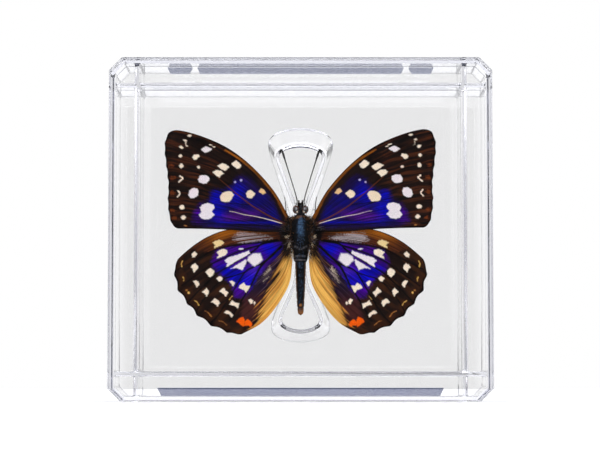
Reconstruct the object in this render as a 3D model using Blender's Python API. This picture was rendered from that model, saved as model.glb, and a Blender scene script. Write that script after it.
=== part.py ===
"""A spread butterfly held in a clear display case of two moulded shells.

Metres, +Z up. The case stands on its lower edge: the origin is the middle of the
case's lower face, the front faces -Y, and the wings lie close to the XZ plane.
Each shell has a pane, an outer wall, and four inner walls that cross near the corners.
The back shell also has a recess shaped like a bow tie, pressed in from behind, whose
floor carries the insect's body.
"""

import math

import bmesh
import bpy
from mathutils import Matrix, Vector

MM = 0.001

# Gap between neighbouring pieces that touch in the real object
CONTACT_GAP = 0.3 * MM

# Case, outer sizes
CASE_WIDTH = 133.0 * MM
CASE_HEIGHT = 119.4 * MM
CASE_DEPTH = 32.0 * MM
CORNER_CHAMFER = 4.5 * MM
FACE_BEVEL = 0.6 * MM
FRONT_SHELL_DEPTH = 11.0 * MM

# Case, walls
OUTER_WALL = 2.0 * MM
INNER_WALL_INSET = 9.0 * MM
INNER_WALL = 1.4 * MM
PANE = 2.4 * MM
PANE_BORDER = 3.2 * MM
WINDOW_INSET = 13.0 * MM
WINDOW_STEP_SLOPE = 0.5 * MM
CHAMBER_CORNER_RADIUS = 1.0 * MM
WINDOW_CORNER_RADIUS = 3.0 * MM
CORNER_STEPS = 3

# Recess that carries the body, measured from its waist: the mouth lies in the back
# shell's outer face, and the floor lies RECESS_DEPTH nearer to the insect.
RECESS_DEPTH = 12.0 * MM
RECESS_WALL = 1.2 * MM
RECESS_LIP = 0.4 * MM
RECESS_LIP_DEPTH = 0.4 * MM
WAIST_HEIGHT = 57.4 * MM
MOUTH = {
    "top_end": 39.9 * MM,
    "top_corner": (11.7 * MM, 36.6 * MM),
    "top_waist": (2.0 * MM, 5.8 * MM),
    "low_waist": (2.0 * MM, -8.6 * MM),
    "low_corner": (10.8 * MM, -32.8 * MM),
    "low_end": -35.9 * MM,
}
FLOOR = {
    "top_end": 32.3 * MM,
    "top_corner": (8.3 * MM, 29.8 * MM),
    "top_waist": (0.6 * MM, 9.5 * MM),
    "low_waist": (0.6 * MM, -14.6 * MM),
    "low_corner": (7.4 * MM, -29.5 * MM),
    "low_end": -32.3 * MM,
}
RECESS_CORNER_REACH = 2.3 * MM
RECESS_WAIST_REACH = 2.0 * MM
ARC_STEPS = 3
BEND_STEPS = 3

# Body of the insect: height, half width and half depth of each section
BODY_SIDES = 14
BODY_SECTIONS = (
    (48.9 * MM, 2.00 * MM, 1.80 * MM),
    (49.7 * MM, 2.40 * MM, 2.00 * MM),
    (51.0 * MM, 2.60 * MM, 2.15 * MM),
    (51.9 * MM, 2.65 * MM, 2.10 * MM),
    (54.6 * MM, 3.35 * MM, 2.35 * MM),
    (57.4 * MM, 3.90 * MM, 2.48 * MM),
    (60.2 * MM, 4.00 * MM, 2.48 * MM),
    (62.6 * MM, 3.85 * MM, 2.40 * MM),
    (64.2 * MM, 3.10 * MM, 2.10 * MM),
    (65.3 * MM, 1.90 * MM, 1.60 * MM),
    (66.4 * MM, 1.85 * MM, 1.70 * MM),
    (68.3 * MM, 1.75 * MM, 1.75 * MM),
    (69.3 * MM, 1.25 * MM, 1.30 * MM),
    (69.8 * MM, 0.60 * MM, 0.70 * MM),
)
ABDOMEN_TOP = 48.3 * MM
ABDOMEN_TIP = 30.3 * MM
ABDOMEN_RINGS = 7
ABDOMEN_TOP_RADIUS = 1.90 * MM
ABDOMEN_TIP_RADIUS = 0.70 * MM
ABDOMEN_FLATNESS = 0.92
RING_GROOVE = 0.16 * MM
RING_GROOVE_SHARE = 0.22
EYE_SIZE = (1.00 * MM, 1.15 * MM, 1.35 * MM)
EYE_PLACE = (1.80 * MM, -0.35 * MM, 67.5 * MM)
PALP_RADIUS = 0.42 * MM
PALP_FOOT = (0.60 * MM, -0.90 * MM, 68.4 * MM)
PALP_TIP = (0.62 * MM, -1.20 * MM, 70.4 * MM)
TUFT_RADIUS = 0.50 * MM
TUFTS = (
    ((3.2 * MM, -1.2 * MM, 61.6 * MM), (5.3 * MM, -1.9 * MM, 61.2 * MM)),
    ((3.2 * MM, -1.2 * MM, 58.6 * MM), (5.7 * MM, -1.9 * MM, 57.0 * MM)),
    ((2.9 * MM, -1.2 * MM, 55.8 * MM), (4.6 * MM, -1.9 * MM, 53.4 * MM)),
)
LEG_RADIUS = 0.30 * MM
LEGS = (
    (
        (1.8 * MM, 1.0 * MM, 60.5 * MM),
        (4.9 * MM, 1.8 * MM, 62.6 * MM),
        (5.1 * MM, 1.7 * MM, 66.8 * MM),
        (5.6 * MM, 1.5 * MM, 72.1 * MM),
    ),
    (
        (1.6 * MM, 1.0 * MM, 56.4 * MM),
        (5.0 * MM, 1.9 * MM, 54.2 * MM),
        (4.5 * MM, 1.8 * MM, 48.6 * MM),
    ),
)

# Antennae: points from the head to the club, and the thickness at each as a share
ANTENNA_RADIUS = 0.24 * MM
ANTENNA = (
    ((1.15 * MM, -0.5 * MM, 70.15 * MM), 1.0),
    ((1.70 * MM, -0.5 * MM, 72.6 * MM), 0.8),
    ((2.90 * MM, -0.5 * MM, 76.6 * MM), 0.8),
    ((4.10 * MM, -0.5 * MM, 80.5 * MM), 0.8),
    ((5.25 * MM, -0.4 * MM, 84.2 * MM), 1.0),
    ((6.00 * MM, -0.4 * MM, 86.6 * MM), 1.7),
    ((6.45 * MM, -0.4 * MM, 88.0 * MM), 1.4),
)

# Wings, in millimetres outwards from the middle of the body and upwards from its
# thorax. A wing is a patch between four edges: the leading edge and the trailing edge
# run from the body to the margin, and the margin has one point for each vein's end.
THORAX_HEIGHT = 58.7 * MM
WING_THICKNESS = 0.34 * MM
VEIN_RISE = 0.14 * MM
FOLD_DIP = 0.05 * MM
WING_STEPS = 8
FOREWING = {
    "leading": ((4.0, 6.0), (10.0, 16.1), (19.6, 26.1), (30.1, 32.7), (43.6, 36.8)),
    "trailing": ((4.8, 0.9), (14.2, 0.8), (24.0, 1.5), (34.0, 1.9), (43.0, 2.0)),
    "root": ((4.0, 6.0), (4.5, 3.4), (4.8, 0.9)),
    "margin": (
        (43.6, 36.8),
        (46.5, 35.8),
        (47.9, 32.3),
        (47.9, 28.4),
        (47.4, 24.2),
        (46.9, 20.2),
        (46.6, 16.5),
        (46.8, 12.6),
        (46.6, 8.9),
        (45.7, 4.6),
        (43.0, 2.0),
    ),
    "scallop": 0.15,
    "segments": 4,
    "rest": -0.55,
    "arch": -0.50,
    "arch_edge": 0.0,
}
HINDWING = {
    "leading": ((4.8, 1.6), (14.5, 2.2), (24.5, 2.0), (34.2, -1.6), (43.1, -8.6)),
    "trailing": ((2.85, -9.2), (4.0, -17.3), (8.3, -25.0), (13.8, -31.2), (20.7, -35.1)),
    "root": ((4.8, 1.6), (4.6, -2.2), (4.0, -5.6), (2.85, -9.2)),
    "margin": (
        (43.1, -8.6),
        (44.5, -14.0),
        (43.2, -19.7),
        (39.9, -24.5),
        (36.4, -28.6),
        (31.5, -32.2),
        (25.8, -34.6),
        (20.7, -35.1),
    ),
    "scallop": 0.8,
    "segments": 4,
    "rest": 0.50,
    "arch": 0.40,
    "arch_edge": 1.0,
}
RIGHT_FOREWING_TURN = math.radians(0.5)

COLOURS = {
    "clear_plastic": ((0.90, 0.91, 0.95, 0.25), 0.05),
    "body": ((0.02, 0.02, 0.03, 1.0), 0.7),
    "antenna": ((0.01, 0.01, 0.01, 1.0), 0.5),
    "forewing": ((0.08, 0.03, 0.16, 1.0), 0.6),
    "hindwing": ((0.10, 0.04, 0.20, 1.0), 0.6),
}


def clear_scene():
    """Remove the objects that the scene starts with."""
    for thing in list(bpy.data.objects):
        bpy.data.objects.remove(thing, do_unlink=True)


def new_collection(name):
    """A collection of this name, linked to the scene."""
    group = bpy.data.collections.new(name)
    bpy.context.scene.collection.children.link(group)
    return group


def plain_material(name):
    """The Principled material that COLOURS describes."""
    colour, roughness = COLOURS[name]
    material = bpy.data.materials.new(name)
    material.diffuse_color = colour
    material.use_nodes = True
    shader = material.node_tree.nodes["Principled BSDF"]
    shader.inputs["Base Color"].default_value = colour
    shader.inputs["Roughness"].default_value = roughness
    shader.inputs["Metallic"].default_value = 0.0
    shader.inputs["Alpha"].default_value = colour[3]
    return material


def add_loft(form, sections):
    """Add a closed skin through sections of equal length, capped at both ends."""
    rings = [[form.verts.new(point) for point in section] for section in sections]
    count = len(rings[0])
    faces = [form.faces.new(rings[0]), form.faces.new(rings[-1])]
    for ring, following in zip(rings, rings[1:]):
        for i in range(count):
            j = (i + 1) % count
            faces.append(form.faces.new((ring[i], ring[j], following[j], following[i])))
    bmesh.ops.recalc_face_normals(form, faces=faces)


def as_object(form, name, group, material=None):
    """Turn a bmesh into an object in the collection, and free it."""
    mesh = bpy.data.meshes.new(name)
    form.to_mesh(mesh)
    form.free()
    thing = bpy.data.objects.new(name, mesh)
    if material:
        mesh.materials.append(material)
    group.objects.link(thing)
    return thing


def as_cutter(form, name, cutters):
    """An object that only shapes others."""
    thing = as_object(form, name, cutters)
    thing.hide_render = True
    thing.display_type = "WIRE"
    return thing


def combine(thing, other, operation):
    """Join another mesh to this one, or cut it away."""
    step = thing.modifiers.new(other.name, "BOOLEAN")
    step.operation = operation
    step.object = other


def blend(start, end, share):
    """The value this share of the way from start to end."""
    return start + (end - start) * share


def bend(before, corner, after, reach, steps):
    """Points of a round bend that replaces a corner, reaching this far along both sides."""
    before, corner, after = Vector(before), Vector(corner), Vector(after)
    first = corner + (before - corner).normalized() * reach
    last = corner + (after - corner).normalized() * reach
    points = []
    for i in range(steps + 1):
        share = i / steps
        points.append(first.lerp(corner, share).lerp(corner.lerp(last, share), share))
    return points


# Case


def case_outline(inset, y):
    """The case's outline with its 45 degree corners, drawn in by inset, at depth y."""
    half_width = CASE_WIDTH / 2 - inset
    half_height = CASE_HEIGHT / 2 - inset
    chamfer = CORNER_CHAMFER - inset * (2 - math.sqrt(2))
    points = []
    for x_sign, z_sign in ((1, 1), (-1, 1), (-1, -1), (1, -1)):
        side = (x_sign * half_width, z_sign * (half_height - chamfer))
        end = (x_sign * (half_width - chamfer), z_sign * half_height)
        points += (side, end) if x_sign == z_sign else (end, side)
    return [(x, y, z + CASE_HEIGHT / 2) for x, z in points]


def rounded_frame(inset, radius, y):
    """A rectangle with round corners, drawn in from the case's outline, at depth y."""
    half_width = CASE_WIDTH / 2 - inset
    half_height = CASE_HEIGHT / 2 - inset
    points = []
    for quarter, (x_sign, z_sign) in enumerate(((1, 1), (-1, 1), (-1, -1), (1, -1))):
        for i in range(CORNER_STEPS + 1):
            angle = (quarter + i / CORNER_STEPS) * math.pi / 2
            x = x_sign * (half_width - radius) + radius * math.cos(angle)
            z = z_sign * (half_height - radius) + radius * math.sin(angle)
            points.append((x, y, z + CASE_HEIGHT / 2))
    return points


def flat_outline(corners, y):
    """Corners given from the case's middle, at depth y."""
    return [(x, y, z + CASE_HEIGHT / 2) for x, z in corners]


def add_cells(form, face, inward, rim):
    """Add the chamber and the eight cells round it, open at the rim.

    face is the y of the shell's outer face, and inward the y direction into the case.
    """
    window_floor = face + inward * PANE
    window_top = face + inward * PANE_BORDER
    beyond = rim + inward * CONTACT_GAP
    chamber_inset = INNER_WALL_INSET + INNER_WALL
    add_loft(
        form,
        (
            rounded_frame(WINDOW_INSET, WINDOW_CORNER_RADIUS, window_floor),
            rounded_frame(WINDOW_INSET - WINDOW_STEP_SLOPE, WINDOW_CORNER_RADIUS, window_top),
            rounded_frame(chamber_inset, CHAMBER_CORNER_RADIUS, window_top),
            rounded_frame(chamber_inset, CHAMBER_CORNER_RADIUS, beyond),
        ),
    )

    half_width, half_height = CASE_WIDTH / 2, CASE_HEIGHT / 2
    wall_x = half_width - INNER_WALL_INSET
    wall_z = half_height - INNER_WALL_INSET
    skirt_x = half_width - OUTER_WALL
    skirt_z = half_height - OUTER_WALL
    chamber_x = half_width - chamber_inset
    chamber_z = half_height - chamber_inset
    chamfer = CORNER_CHAMFER - OUTER_WALL * (2 - math.sqrt(2))
    for x_sign in (1, -1):
        side = [(wall_x, -chamber_z), (skirt_x, -chamber_z), (skirt_x, chamber_z), (wall_x, chamber_z)]
        corners = [(x * x_sign, z) for x, z in side]
        add_loft(form, [flat_outline(corners, y) for y in (window_floor, beyond)])
    for z_sign in (1, -1):
        side = [(-chamber_x, wall_z), (chamber_x, wall_z), (chamber_x, skirt_z), (-chamber_x, skirt_z)]
        corners = [(x, z * z_sign) for x, z in side]
        add_loft(form, [flat_outline(corners, y) for y in (window_floor, beyond)])
    cell = [
        (wall_x, wall_z),
        (skirt_x, wall_z),
        (skirt_x, skirt_z - chamfer),
        (skirt_x - chamfer, skirt_z),
        (wall_x, skirt_z),
    ]
    for x_sign in (1, -1):
        for z_sign in (1, -1):
            corners = [(x * x_sign, z * z_sign) for x, z in cell]
            add_loft(form, [flat_outline(corners, y) for y in (window_floor, beyond)])


def recess_outline(depth, grow, y):
    """The bow tie's outline at this depth behind the outer face, grown outwards."""
    share = depth / RECESS_DEPTH

    def end(name):
        return blend(MOUTH[name], FLOOR[name], share)

    def point(name):
        x, z = (blend(a, b, share) for a, b in zip(MOUTH[name], FLOOR[name]))
        return x + grow, z

    def arc(corner, tip):
        """From the corner towards the tip on the axis, without either."""
        rise = tip - corner[1]
        radius = (corner[0] ** 2 + rise**2) / (2 * rise)
        points = []
        for i in range(1, ARC_STEPS):
            x = corner[0] * (1 - i / ARC_STEPS)
            drop = abs(radius) - math.sqrt(radius**2 - x**2)
            points.append(Vector((x, tip - math.copysign(drop, rise))))
        return points

    top_corner, low_corner = Vector(point("top_corner")), Vector(point("low_corner"))
    top_corner.y += grow / 2
    low_corner.y -= grow / 2
    top_waist, low_waist = point("top_waist"), point("low_waist")
    top_end, low_end = end("top_end") + grow, end("low_end") - grow
    top_arc, low_arc = arc(top_corner, top_end), arc(low_corner, low_end)
    half = [Vector((0.0, low_end))]
    half += reversed(low_arc)
    half += bend(low_arc[0], low_corner, low_waist, RECESS_CORNER_REACH, BEND_STEPS)
    half += bend(low_corner, low_waist, top_waist, RECESS_WAIST_REACH, BEND_STEPS)
    half += bend(low_waist, top_waist, top_corner, RECESS_WAIST_REACH, BEND_STEPS)
    half += bend(top_waist, top_corner, top_arc[0], RECESS_CORNER_REACH, BEND_STEPS)
    half += top_arc
    half.append(Vector((0.0, top_end)))
    other = [Vector((-p.x, p.y)) for p in reversed(half[1:-1])]
    return [(p.x, y, p.y + WAIST_HEIGHT) for p in half + other]


def make_shell(name, face, inward, rim, group, cutters, material):
    """One half of the case, from its outer face to its rim, with a flat pane."""
    form = bmesh.new()
    add_loft(
        form,
        (
            case_outline(FACE_BEVEL, face),
            case_outline(0.0, face + inward * FACE_BEVEL),
            case_outline(0.0, rim),
        ),
    )
    shell = as_object(form, name, group, material)

    form = bmesh.new()
    add_cells(form, face, inward, rim)
    combine(shell, as_cutter(form, name + "_cells", cutters), "DIFFERENCE")
    return shell


def press_recess(shell, face, inward, cutters):
    """Press the bow tie into a shell's pane, with a wall of even thickness round it."""
    form = bmesh.new()
    levels = (PANE / 2, RECESS_DEPTH + RECESS_WALL)
    add_loft(form, [recess_outline(min(d, RECESS_DEPTH), RECESS_WALL, face + inward * d) for d in levels])
    combine(shell, as_cutter(form, "recess_wall", cutters), "UNION")

    form = bmesh.new()
    levels = (
        (-RECESS_LIP_DEPTH, 2 * RECESS_LIP),
        (RECESS_LIP_DEPTH, 0.0),
        (RECESS_DEPTH, 0.0),
    )
    add_loft(form, [recess_outline(d, grow, face + inward * d) for d, grow in levels])
    combine(shell, as_cutter(form, "recess", cutters), "DIFFERENCE")


def make_case(group, cutters, material):
    """Both shells, which meet with a fine gap. Only the back one has the recess."""
    front, back = -CASE_DEPTH / 2, CASE_DEPTH / 2
    parting = front + FRONT_SHELL_DEPTH
    make_shell("case_front", front, 1, parting - CONTACT_GAP / 2, group, cutters, material)
    shell = make_shell("case_back", back, -1, parting + CONTACT_GAP / 2, group, cutters, material)
    press_recess(shell, back, -1, cutters)


# Insect


def ellipse(z, half_width, half_depth):
    """A section of the body at height z."""
    angles = [2 * math.pi * i / BODY_SIDES for i in range(BODY_SIDES)]
    return [(half_width * math.cos(a), half_depth * math.sin(a), z) for a in angles]


def abdomen_sections():
    """Sections of the ringed abdomen, from its tip upwards."""
    sections = [ellipse(ABDOMEN_TIP, ABDOMEN_TIP_RADIUS * 0.4, ABDOMEN_TIP_RADIUS * 0.4)]
    ring = (ABDOMEN_TOP - ABDOMEN_TIP) / ABDOMEN_RINGS
    for i in range(ABDOMEN_RINGS):
        for place, groove in ((RING_GROOVE_SHARE, 0.0), (1.0 - RING_GROOVE_SHARE / 2, RING_GROOVE)):
            share = (i + place) / ABDOMEN_RINGS
            radius = blend(ABDOMEN_TIP_RADIUS, ABDOMEN_TOP_RADIUS, math.sqrt(share)) - groove
            sections.append(ellipse(ABDOMEN_TIP + (i + place) * ring, radius, radius * ABDOMEN_FLATNESS))
    return sections


def tube_form(points, radius, shares=None):
    """A mesh tube through points, thicker or thinner by its shares, closed at both ends."""
    path = bpy.data.curves.new("path", "CURVE")
    path.dimensions = "3D"
    path.bevel_depth = radius
    path.bevel_resolution = 1
    path.use_fill_caps = True
    line = path.splines.new("POLY")
    line.points.add(len(points) - 1)
    for i, point in enumerate(points):
        line.points[i].co = (*point, 1.0)
        line.points[i].radius = shares[i] if shares else 1.0
    carrier = bpy.data.objects.new("path", path)
    bpy.context.scene.collection.objects.link(carrier)
    graph = bpy.context.evaluated_depsgraph_get()
    mesh = bpy.data.meshes.new_from_object(carrier.evaluated_get(graph))
    bpy.data.objects.remove(carrier, do_unlink=True)
    form = bmesh.new()
    form.from_mesh(mesh)
    bpy.data.meshes.remove(mesh)
    bmesh.ops.remove_doubles(form, verts=form.verts, dist=0.01 * MM)
    bmesh.ops.recalc_face_normals(form, faces=form.faces)
    return form


def mirrored(point, side):
    """The point on the right side of the body, or its twin on the left."""
    return Vector((point[0] * side, point[1], point[2]))


def make_body(group, cutters, material):
    """Head, thorax and abdomen in one, with eyes, palps, hair tufts and legs fused to them."""
    form = bmesh.new()
    add_loft(form, abdomen_sections() + [ellipse(*section) for section in BODY_SECTIONS])
    body = as_object(form, "body", group, material)

    for side, label in ((1, "right"), (-1, "left")):
        form = bmesh.new()
        place = Matrix.Translation(mirrored(EYE_PLACE, side)) @ Matrix.Diagonal((*EYE_SIZE, 1.0))
        bmesh.ops.create_uvsphere(form, u_segments=10, v_segments=7, radius=1.0, matrix=place)
        combine(body, as_cutter(form, "eye_" + label, cutters), "UNION")

        foot, tip = mirrored(PALP_FOOT, side), mirrored(PALP_TIP, side)
        form = tube_form((foot, foot.lerp(tip, 0.6), tip), PALP_RADIUS, (1.0, 0.9, 0.4))
        combine(body, as_cutter(form, "palp_" + label, cutters), "UNION")

        for number, tuft in enumerate(TUFTS, 1):
            foot, tip = (mirrored(point, side) for point in tuft)
            form = tube_form((foot, foot.lerp(tip, 0.6), tip), TUFT_RADIUS, (1.0, 0.8, 0.2))
            combine(body, as_cutter(form, f"tuft_{number}_{label}", cutters), "UNION")

        for number, leg in enumerate(LEGS, 1):
            points = [mirrored(point, side) for point in leg]
            shares = [1.0 - 0.4 * i / (len(points) - 1) for i in range(len(points))]
            form = tube_form(points, LEG_RADIUS, shares)
            combine(body, as_cutter(form, f"leg_{number}_{label}", cutters), "UNION")
    return body


def make_antenna(side, label, group, material):
    """One clubbed antenna."""
    points = [mirrored(point, side) for point, _ in ANTENNA]
    shares = [share for _, share in ANTENNA]
    return as_object(tube_form(points, ANTENNA_RADIUS, shares), "antenna_" + label, group, material)


# Wings


def curve_at(points, share):
    """A smooth curve through points, with the same share of the way between each two."""
    last = len(points) - 1
    place = min(max(share, 0.0), 1.0) * last
    i = min(int(place), last - 1)
    t = place - i
    p1, p2 = Vector(points[i]), Vector(points[i + 1])
    p0 = Vector(points[i - 1]) if i else p1 * 2 - p2
    p3 = Vector(points[i + 2]) if i + 2 <= last else p2 * 2 - p1
    return (
        p1 * 2
        + (p2 - p0) * t
        + (p0 * 2 - p1 * 5 + p2 * 4 - p3) * t**2
        + (p1 * 3 - p0 - p2 * 3 + p3) * t**3
    ) / 2


def margin_at(wing, share):
    """The outer margin, hollowed a little between the veins' ends."""
    point = curve_at(wing["margin"], share)
    step = 0.01
    along = curve_at(wing["margin"], share + step) - curve_at(wing["margin"], share - step)
    inward = Vector((along.y, -along.x)).normalized()
    cells = len(wing["margin"]) - 1
    return point + inward * wing["scallop"] * abs(math.sin(math.pi * cells * share))


def patch_at(wing, across, outwards):
    """The flat place of a wing's point: across from leading to trailing edge, outwards to the margin."""
    lead, trail = curve_at(wing["leading"], outwards), curve_at(wing["trailing"], outwards)
    root, margin = curve_at(wing["root"], across), margin_at(wing, across)
    first, last = wing["root"][0], wing["root"][-1]
    tip, heel = wing["margin"][0], wing["margin"][-1]
    root_line = Vector(first).lerp(Vector(last), across)
    margin_line = Vector(tip).lerp(Vector(heel), across)
    return lead.lerp(trail, across) + root.lerp(margin, outwards) - root_line.lerp(margin_line, outwards)


def wing_levels(wing, across, outwards, on_vein, on_fold):
    """How far the front and back surfaces lie from the middle plane."""
    lift = 1.0 - abs(wing["arch_edge"] - across)
    middle = wing["rest"] + wing["arch"] * math.sin(math.pi * outwards) * lift
    relief = 0.0
    if on_vein:
        relief = VEIN_RISE / MM * (1.0 - 0.6 * outwards)
    elif on_fold:
        relief = -FOLD_DIP / MM
    half = WING_THICKNESS / MM / 2 + relief
    return middle - half, middle + half


def make_wing(name, wing, side, turn, group, material):
    """A thin closed plate with raised veins and a scalloped margin."""
    cells = len(wing["margin"]) - 1
    segments = wing["segments"]
    columns = cells * segments
    pivot = Vector(wing["root"][0])
    rotation = Matrix.Rotation(turn, 2)
    form = bmesh.new()
    front, back = [], []
    for i in range(columns + 1):
        across = i / columns
        on_vein = i % segments == 0
        on_fold = i % segments == segments // 2
        front_row, back_row = [], []
        for j in range(WING_STEPS + 1):
            outwards = j / WING_STEPS
            flat = pivot + rotation @ (patch_at(wing, across, outwards) - pivot)
            levels = wing_levels(wing, across, outwards, on_vein, on_fold)
            for row, level in zip((front_row, back_row), levels):
                place = Vector((side * flat.x * MM, level * MM, THORAX_HEIGHT + flat.y * MM))
                row.append(form.verts.new(place))
        front.append(front_row)
        back.append(back_row)
    for rows in (front, back):
        for row, following in zip(rows, rows[1:]):
            for j in range(WING_STEPS):
                form.faces.new((row[j], row[j + 1], following[j + 1], following[j]))
    for i in range(columns):
        for j in (0, WING_STEPS):
            form.faces.new((front[i][j], front[i + 1][j], back[i + 1][j], back[i][j]))
    for i in (0, columns):
        for j in range(WING_STEPS):
            form.faces.new((front[i][j], front[i][j + 1], back[i][j + 1], back[i][j]))
    bmesh.ops.recalc_face_normals(form, faces=form.faces)
    return as_object(form, name, group, material)


def main():
    """Build every piece."""
    clear_scene()
    group = new_collection("butterfly_in_case")
    cutters = new_collection("cutters")
    materials = {name: plain_material(name) for name in COLOURS}
    make_case(group, cutters, materials["clear_plastic"])
    make_body(group, cutters, materials["body"])
    for side, label in ((1, "right"), (-1, "left")):
        turn = RIGHT_FOREWING_TURN if side > 0 else 0.0
        make_antenna(side, label, group, materials["antenna"])
        make_wing("forewing_" + label, FOREWING, side, turn, group, materials["forewing"])
        make_wing("hindwing_" + label, HINDWING, side, 0.0, group, materials["hindwing"])


main()
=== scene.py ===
"""Looks for a spread butterfly in a clear display case of two moulded shells.

Metres, +Z up, the front towards -Y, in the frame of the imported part. The wings are fine
sheets whose scales are painted point by point from named markings, the body carries
hairs, and the case is two clear shells with rounded edges.
"""

import enum
import logging
import math
from collections.abc import Iterable, Sequence
from dataclasses import dataclass, field
from typing import NamedTuple

import bmesh
import bpy
import numpy as np
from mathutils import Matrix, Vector
from mathutils.geometry import tessellate_polygon


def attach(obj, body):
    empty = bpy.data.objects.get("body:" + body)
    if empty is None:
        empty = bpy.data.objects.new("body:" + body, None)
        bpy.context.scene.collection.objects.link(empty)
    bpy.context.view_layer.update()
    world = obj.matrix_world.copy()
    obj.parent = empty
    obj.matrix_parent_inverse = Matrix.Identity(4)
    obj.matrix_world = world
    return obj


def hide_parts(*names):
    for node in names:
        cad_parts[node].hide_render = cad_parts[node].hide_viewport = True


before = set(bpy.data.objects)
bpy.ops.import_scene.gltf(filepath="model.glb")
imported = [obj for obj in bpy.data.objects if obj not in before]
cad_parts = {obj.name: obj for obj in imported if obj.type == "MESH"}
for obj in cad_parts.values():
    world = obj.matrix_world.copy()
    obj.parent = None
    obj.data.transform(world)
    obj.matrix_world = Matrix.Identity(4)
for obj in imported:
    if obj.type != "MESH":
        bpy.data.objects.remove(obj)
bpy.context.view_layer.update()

MM = 0.001
BODY = "root"
TONES = "tones"
RIGHT_FOREWING_TURN = 0.5

Array = np.ndarray
Point = tuple[float, float]
Place = tuple[float, float, float]
Loop = list[bmesh.types.BMVert]
Mesh = bpy.types.Mesh
Material = bpy.types.Material
Socket = bpy.types.NodeSocket

log = logging.getLogger("butterfly_case")


class Side(enum.Enum):
    """Which side of the insect a piece is on, seen from the front."""

    LEFT = -1
    RIGHT = 1

    @property
    def label(self) -> str:
        """The side's name in piece names."""
        return self.name.lower()


class Tone(enum.Enum):
    """Colours of scales, hairs and horn, as red, green and blue from 0 to 255."""

    CREAM = (255, 238, 214)
    PALE = (246, 236, 240)
    YELLOW = (246, 218, 155)
    BUFF = (250, 228, 198)
    APRICOT = (240, 196, 140)
    LILAC = (190, 180, 230)
    TAN = (176, 112, 52)
    RUST = (122, 56, 20)
    ORANGE = (250, 96, 4)
    SOOT = (6, 3, 4)
    UMBER = (30, 15, 10)
    BARK = (92, 44, 18)
    BROWN = (58, 30, 12)
    OCHRE = (190, 106, 18)
    NIGHT = (20, 6, 62)
    VIOLET = (56, 0, 122)
    PURPLE = (80, 16, 132)
    IRIS = (56, 28, 170)
    INDIGO = (10, 6, 112)
    ROYAL = (0, 2, 172)
    DUSK = (30, 14, 40)
    HONEY = (224, 148, 60)
    SAND = (255, 200, 100)
    MAUVE = (150, 118, 140)
    PEARL = (205, 205, 180)
    OLIVE = (120, 112, 78)
    SLATE = (10, 12, 17)
    STEEL = (78, 112, 150)
    ASH = (120, 116, 122)
    HAIR_DARK = (24, 17, 15)
    HAIR_BROWN = (112, 76, 46)
    HAIR_CREAM = (232, 210, 176)
    HORN = (12, 9, 9)
    EYE = (58, 30, 20)


def linear(tone: Tone) -> Array:
    """A tone as linear red, green and blue.

    Args:
        tone: The named colour.

    Returns:
        Three numbers from 0 to 1.
    """
    share = np.array(tone.value, float) / 255.0
    return np.where(share <= 0.04045, share / 12.92, ((share + 0.055) / 1.055) ** 2.4)


def ease(low: float, high: float, value: Array) -> Array:
    """A smooth rise from 0 at low to 1 at high.

    Args:
        low: Where the rise starts.
        high: Where it ends.
        value: The values to place on it.

    Returns:
        The height of the rise at each value.
    """
    t = np.clip((value - low) / (high - low), 0.0, 1.0)
    return t * t * (3.0 - 2.0 * t)


def along_curve(points: Sequence[Sequence[float]], shares: Array) -> Array:
    """Places on a smooth curve through points.

    Args:
        points: The points, with the same share of the way between each two.
        shares: Shares of the way, from 0 to 1.

    Returns:
        One row of coordinates for each share.
    """
    knots = np.asarray(points, float)
    padded = np.vstack((2 * knots[0] - knots[1], knots, 2 * knots[-1] - knots[-2]))
    last = len(knots) - 1
    place = np.clip(shares, 0.0, 1.0) * last
    i = np.minimum(place.astype(int), last - 1)
    t = (place - i)[:, None]
    p0, p1, p2, p3 = (padded[i + k] for k in range(4))
    square = (2 * p0 - 5 * p1 + 4 * p2 - p3) * t**2
    cube = (3 * p1 - p0 - 3 * p2 + p3) * t**3
    return (2 * p1 + (p2 - p0) * t + square + cube) / 2


def line_distance(u: Array, v: Array, points: Array) -> tuple[Array, Array]:
    """How far places lie from a line of straight pieces.

    Args:
        u: First coordinates of the places.
        v: Second coordinates of the places.
        points: The line's points.

    Returns:
        The distance of each place, and the share of the line's length that it is nearest to.
    """
    lengths = np.hypot(*np.diff(points, axis=0).T)
    total = lengths.sum()
    best = np.full(u.shape, np.inf)
    share = np.zeros(u.shape)
    run = 0.0
    for start, end, length in zip(points, points[1:], lengths):
        du, dv = end - start
        t = np.clip(((u - start[0]) * du + (v - start[1]) * dv) / length**2, 0.0, 1.0)
        distance = np.hypot(u - start[0] - t * du, v - start[1] - t * dv)
        nearer = distance < best
        best = np.where(nearer, distance, best)
        share = np.where(nearer, (run + t * length) / total, share)
        run += length
    return best, share


@dataclass(frozen=True)
class Grain:
    """Smooth random values over a plane, the same in every run."""

    seed: int
    cells: int = 256

    def at(self, x: Array, y: Array) -> Array:
        """Random values from 0 to 1, with one cell of the pattern for each unit.

        Args:
            x: First coordinates.
            y: Second coordinates.

        Returns:
            The value at each place.
        """
        table = np.random.default_rng(self.seed).random((self.cells, self.cells))
        i, j = np.floor(x).astype(int), np.floor(y).astype(int)
        s, t = ease(0.0, 1.0, x - i), ease(0.0, 1.0, y - j)
        i, j = i % self.cells, j % self.cells
        i2, j2 = (i + 1) % self.cells, (j + 1) % self.cells
        low = table[i, j] * (1 - s) + table[i2, j] * s
        high = table[i, j2] * (1 - s) + table[i2, j2] * s
        return low * (1 - t) + high * t


# Markings


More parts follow.
